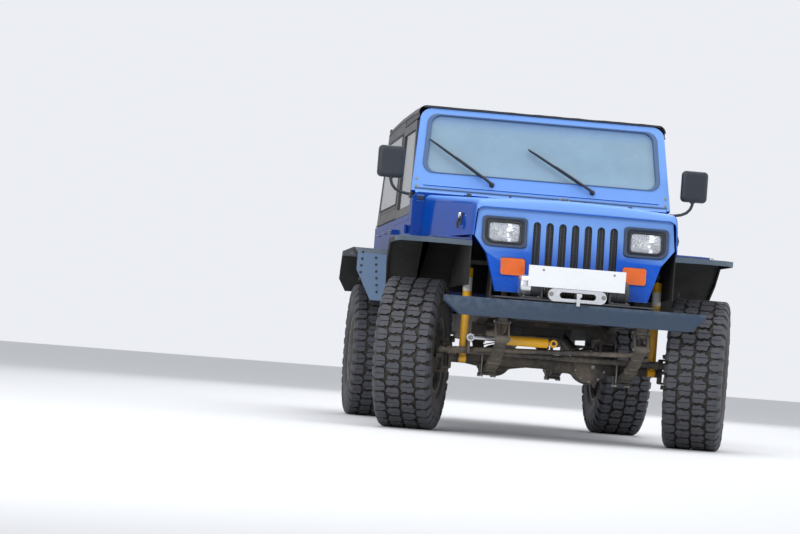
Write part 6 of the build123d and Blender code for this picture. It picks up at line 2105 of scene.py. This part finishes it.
def makeDash():
    # Gauges under the hood, vents, glove box, switches and grab bar
    work = eased("dashboard", 0.01, 3)
    for x, r, z in dash["gauges"]:
        middleSpot = (x, at(dash["face"]), z)
        work.turned([(0.0, r + 0.004), (0.006, r + 0.004), (0.007, r), (0.003, r - 0.001)], middleSpot, (0, 1, 0.1),
                    28, 1)
        work.turned([(0.0032, r - 0.0012), (0.0034, 0.002)], middleSpot, (0, 1, 0.1), 28, 3, True)
        work.block((x + r * 0.28, at(1.155), z + r * 0.24), (r * 0.75, 0.0014, 0.0022), 0, 4,
                   turnedAbout("Y", radians(-40)))
        for k in range(11):
            t = radians(-30 + 24 * k)
            work.block((x + 0.82 * r * cos(t), at(1.1546), z + 0.82 * r * sin(t)), (0.0016, 0.001, 0.005), 0, 4,
                       turnedAbout("Y", -t + pi / 2))
    for x in dash["vents"]:
        work.block((x, at(1.1275), 1.255), (0.09, 0.008, 0.052), 0.004, 1)
        for k in range(5):
            work.block((x, at(1.1325), 1.237 + 0.009 * k), (0.08, 0.006, 0.0022), 0.0006, 2)
    work.block((-0.36, at(1.1255), 1.205), (0.34, 0.006, 0.105), 0.006, 2)
    work.block((-0.36, at(1.13), 1.24), (0.046, 0.006, 0.012), 0.003, 1)
    work.tube(bent(spots(dash["grab"]), 0.03), 0.01, 12, 1)
    for k in range(4):
        work.block((0.02 + 0.03 * k, at(1.1245), 1.19), (0.018, 0.006, 0.024), 0.003, 1)
        work.turned([(0.0, 0.012), (0.016, 0.01), (0.018, 0.006)], (-0.06 + 0.04 * k, at(1.1235), 1.15), (0, 1, 0),
                    16, 1)
    # Column shroud and stalks
    bar(work, *dash["column"], 0.03, 22, 2, 0.006)
    for s in (-1, 1):
        work.tube([(0.37 + s * x, at(y), z) for x, y, z in dash["stalk"]], [0.006, 0.0045, 0.006], 8, 1)
    work.dress("dashboard.panel", ["dashBlack", "mirrorBlack", "linerGrey", "gaugeFace", "plateWhite"], "dashboard")


def makeHelm():
    work = Work()
    axis = Vector(helm["axis"]).normalized()
    x, back, z = helm["centre"]
    centre = Vector((x, at(back), z))
    side = Vector((1, 0, 0))
    up = axis.cross(side)
    rows = []
    for k in range(65):
        t = 2 * pi * k / 64
        out = side * cos(t) + up * sin(t)
        rows.append([centre + out * (helm["radius"] + helm["grip"] * cos(a)) + axis * helm["grip"] * sin(a)
                     for a in (2 * pi * j / 12 for j in range(12))])
    work.loft(rows, 0, True, False, False)
    for turn in helm["spokes"]:
        t = radians(turn)
        out = side * cos(t) + up * sin(t)
        wide = axis.cross(out)
        work.loft([[centre + out * reach + wide * a * w + axis * (b * 0.0045 - drop)
                    for a, b in ((-1, -1), (1, -1), (1, 1), (-1, 1))] for reach, w, drop in helm["spoke"]], 1)
    work.turned(helm["hub"], centre, axis, 36, 0)
    work.dress("steeringWheel.rim", ["wheelHide", "mirrorBlack"], "steering_wheel", 45.0)


def makeControls():
    # Gear levers, pedals and floor mats
    work = Work()
    for x, y, high, lean in controls["levers"]:
        work.turned(controls["boot"], (x, at(y), 0.706), (0, 0, 1), 24, 0)
        work.tube([(x, at(y), 0.73), (x, at(y + lean), 0.82), (x, at(y + lean * 1.3), high)], 0.0065, 10, 1)
        work.turned(controls["knob"], (x, at(y + lean * 1.3), high), (0, 0, 1), 20, 0)
    for x in controls["pedals"]:
        work.tube([(x, at(0.915), 0.935), (x, at(0.95), 0.85), (x, at(1.0), 0.8)], 0.006, 8, 1)
        work.block((x, at(1.003), 0.8), (0.06, 0.012, 0.05), 0.004, 0, turnedAbout("X", radians(-28)))
    for s in (-1, 1):
        work.block((s * 0.38, at(1.16), 0.7095), (0.46, 0.42, 0.006), 0.003, 2)
        for k in range(12):
            work.block((s * 0.38, at(0.98 + 0.032 * k), 0.713), (0.42, 0.01, 0.003), 0.001, 2)
    work.make("cabin.controls", ["mirrorBlack", "boltSteel", "archBlack"], rideOf("tub"))


def makeInnerMirror():
    work = Work()
    work.tube([onScreen(0.0, 0.475, -0.03), onScreen(0.0, 0.445, -0.075)], 0.006, 8, 0)
    spot = onScreen(0.0, 0.435, -0.085)
    loop = roundedLoop(0.105, 0.105, -0.028, 0.028, 0.014)
    work.loft([[spot + Vector((u * g, y, v * g)) for u, v in loop]
               for y, g in ((-0.01, 0.85), (-0.006, 1.0), (0.008, 1.0), (0.01, 0.97))])
    work.add([spot + Vector((u * 0.95, 0.0105, v * 0.93)) for u, v in loop], [list(range(len(loop)))], 1)
    for s in (-1, 1):
        # Sun visors folded up on the header
        work.block(onScreen(s * 0.34, 0.452, -0.075), (0.42, 0.012, 0.09), 0.005, 2, turnedAbout("X", radians(-64)))
    work.make("cabin.mirror", ["mirrorBlack", "mirrorGlass", "linerGrey"], rideOf("windscreen_frame"))


makeSeats()
print("seats made")
makeCage()
makeDash()
makeHelm()
makeControls()
makeInnerMirror()
print("cabin made")


# Studio: a pale floor and backdrop, soft lamps, and the camera at the photograph's angle

studio = {
    "floorSize": 120.0,
    "floorColour": (0.8, 0.81, 0.82),
    "worldColour": (0.93, 0.95, 1.0),
    "worldStrength": 0.62,
    "lamps": [
        # name, place, aim, size, watts
        ("overheadLamp", (0.0, -0.5, 7.5), (0.0, 0.0, 0.8), 7.0, 330.0),
        ("frontLamp", (-5.0, -9.0, 4.5), (0.0, -0.8, 0.8), 5.0, 330.0),
        ("sideLamp", (8.0, -4.0, 4.0), (0.0, -0.4, 0.8), 5.0, 170.0),
        ("rearLamp", (2.0, 9.0, 5.0), (0.0, 1.0, 0.8), 5.0, 200.0),
    ],
}


def makeFloor():
    mesh = bpy.data.meshes.new("floorSheet")
    h = studio["floorSize"] / 2
    mesh.from_pydata([(-h, -h, 0), (h, -h, 0), (h, h, 0), (-h, h, 0)], [], [(0, 1, 2, 3)])
    floor = bpy.data.objects.new("floorSheet", mesh)
    scene.collection.objects.link(floor)
    s = Surface("floorPale")
    mesh.materials.append(s.close({
        "Base Color": s.mix(s.noise(0.8, 3.0) * 0.15, studio["floorColour"], (0.74, 0.75, 0.77)),
        "Roughness": 0.85,
    }))


def makeWorld():
    world = bpy.data.worlds.new("studioAir")
    scene.world = world
    world.use_nodes = True
    back = world.node_tree.nodes["Background"]
    back.inputs["Color"].default_value = (*studio["worldColour"], 1.0)
    back.inputs["Strength"].default_value = studio["worldStrength"]
    rays = world.node_tree.nodes.new("ShaderNodeLightPath")
    seen = world.node_tree.nodes.new("ShaderNodeMath")
    seen.operation = "MAXIMUM"
    world.node_tree.links.new(rays.outputs["Is Camera Ray"], seen.inputs[0])
    world.node_tree.links.new(rays.outputs["Is Glossy Ray"], seen.inputs[1])
    spread = world.node_tree.nodes.new("ShaderNodeMapRange")
    spread.inputs["To Min"].default_value = studio["worldStrength"]
    spread.inputs["To Max"].default_value = 0.9
    world.node_tree.links.new(seen.outputs[0], spread.inputs["Value"])
    world.node_tree.links.new(spread.outputs[0], back.inputs["Strength"])


def makeLamps():
    for name, spot, aim, size, watts in studio["lamps"]:
        light = bpy.data.lights.new(name, "AREA")
        light.shape = "DISK"
        light.size = size
        light.energy = watts
        stand = bpy.data.objects.new(name, light)
        stand.location = spot
        stand.rotation_euler = (Vector(aim) - Vector(spot)).to_track_quat("-Z", "Y").to_euler()
        scene.collection.objects.link(stand)


camera = {
    "place": (-2.34354, -15.80808, 0.37721),
    "right": (0.99170532, -0.10255107, 0.07748443),
    "up": (-0.08058448, -0.02643352, 0.99639722),
    "back": (-0.10013341, -0.99437646, -0.03447828),
    "lens": 118.8,
}


def makeCamera():
    data = bpy.data.cameras.new("photoCamera")
    data.lens = camera["lens"]
    data.sensor_width = 36.0
    data.sensor_fit = "HORIZONTAL"
    data.clip_end = 300.0
    eye = bpy.data.objects.new("photoCamera", data)
    turn = Matrix((camera["right"], camera["up"], camera["back"])).transposed()
    eye.matrix_world = Matrix.Translation(camera["place"]) @ turn.to_4x4()
    scene.collection.objects.link(eye)
    scene.camera = eye


makeFloor()
makeWorld()
makeLamps()
makeCamera()
scene.view_settings.view_transform = "Standard"
print("studio ready")
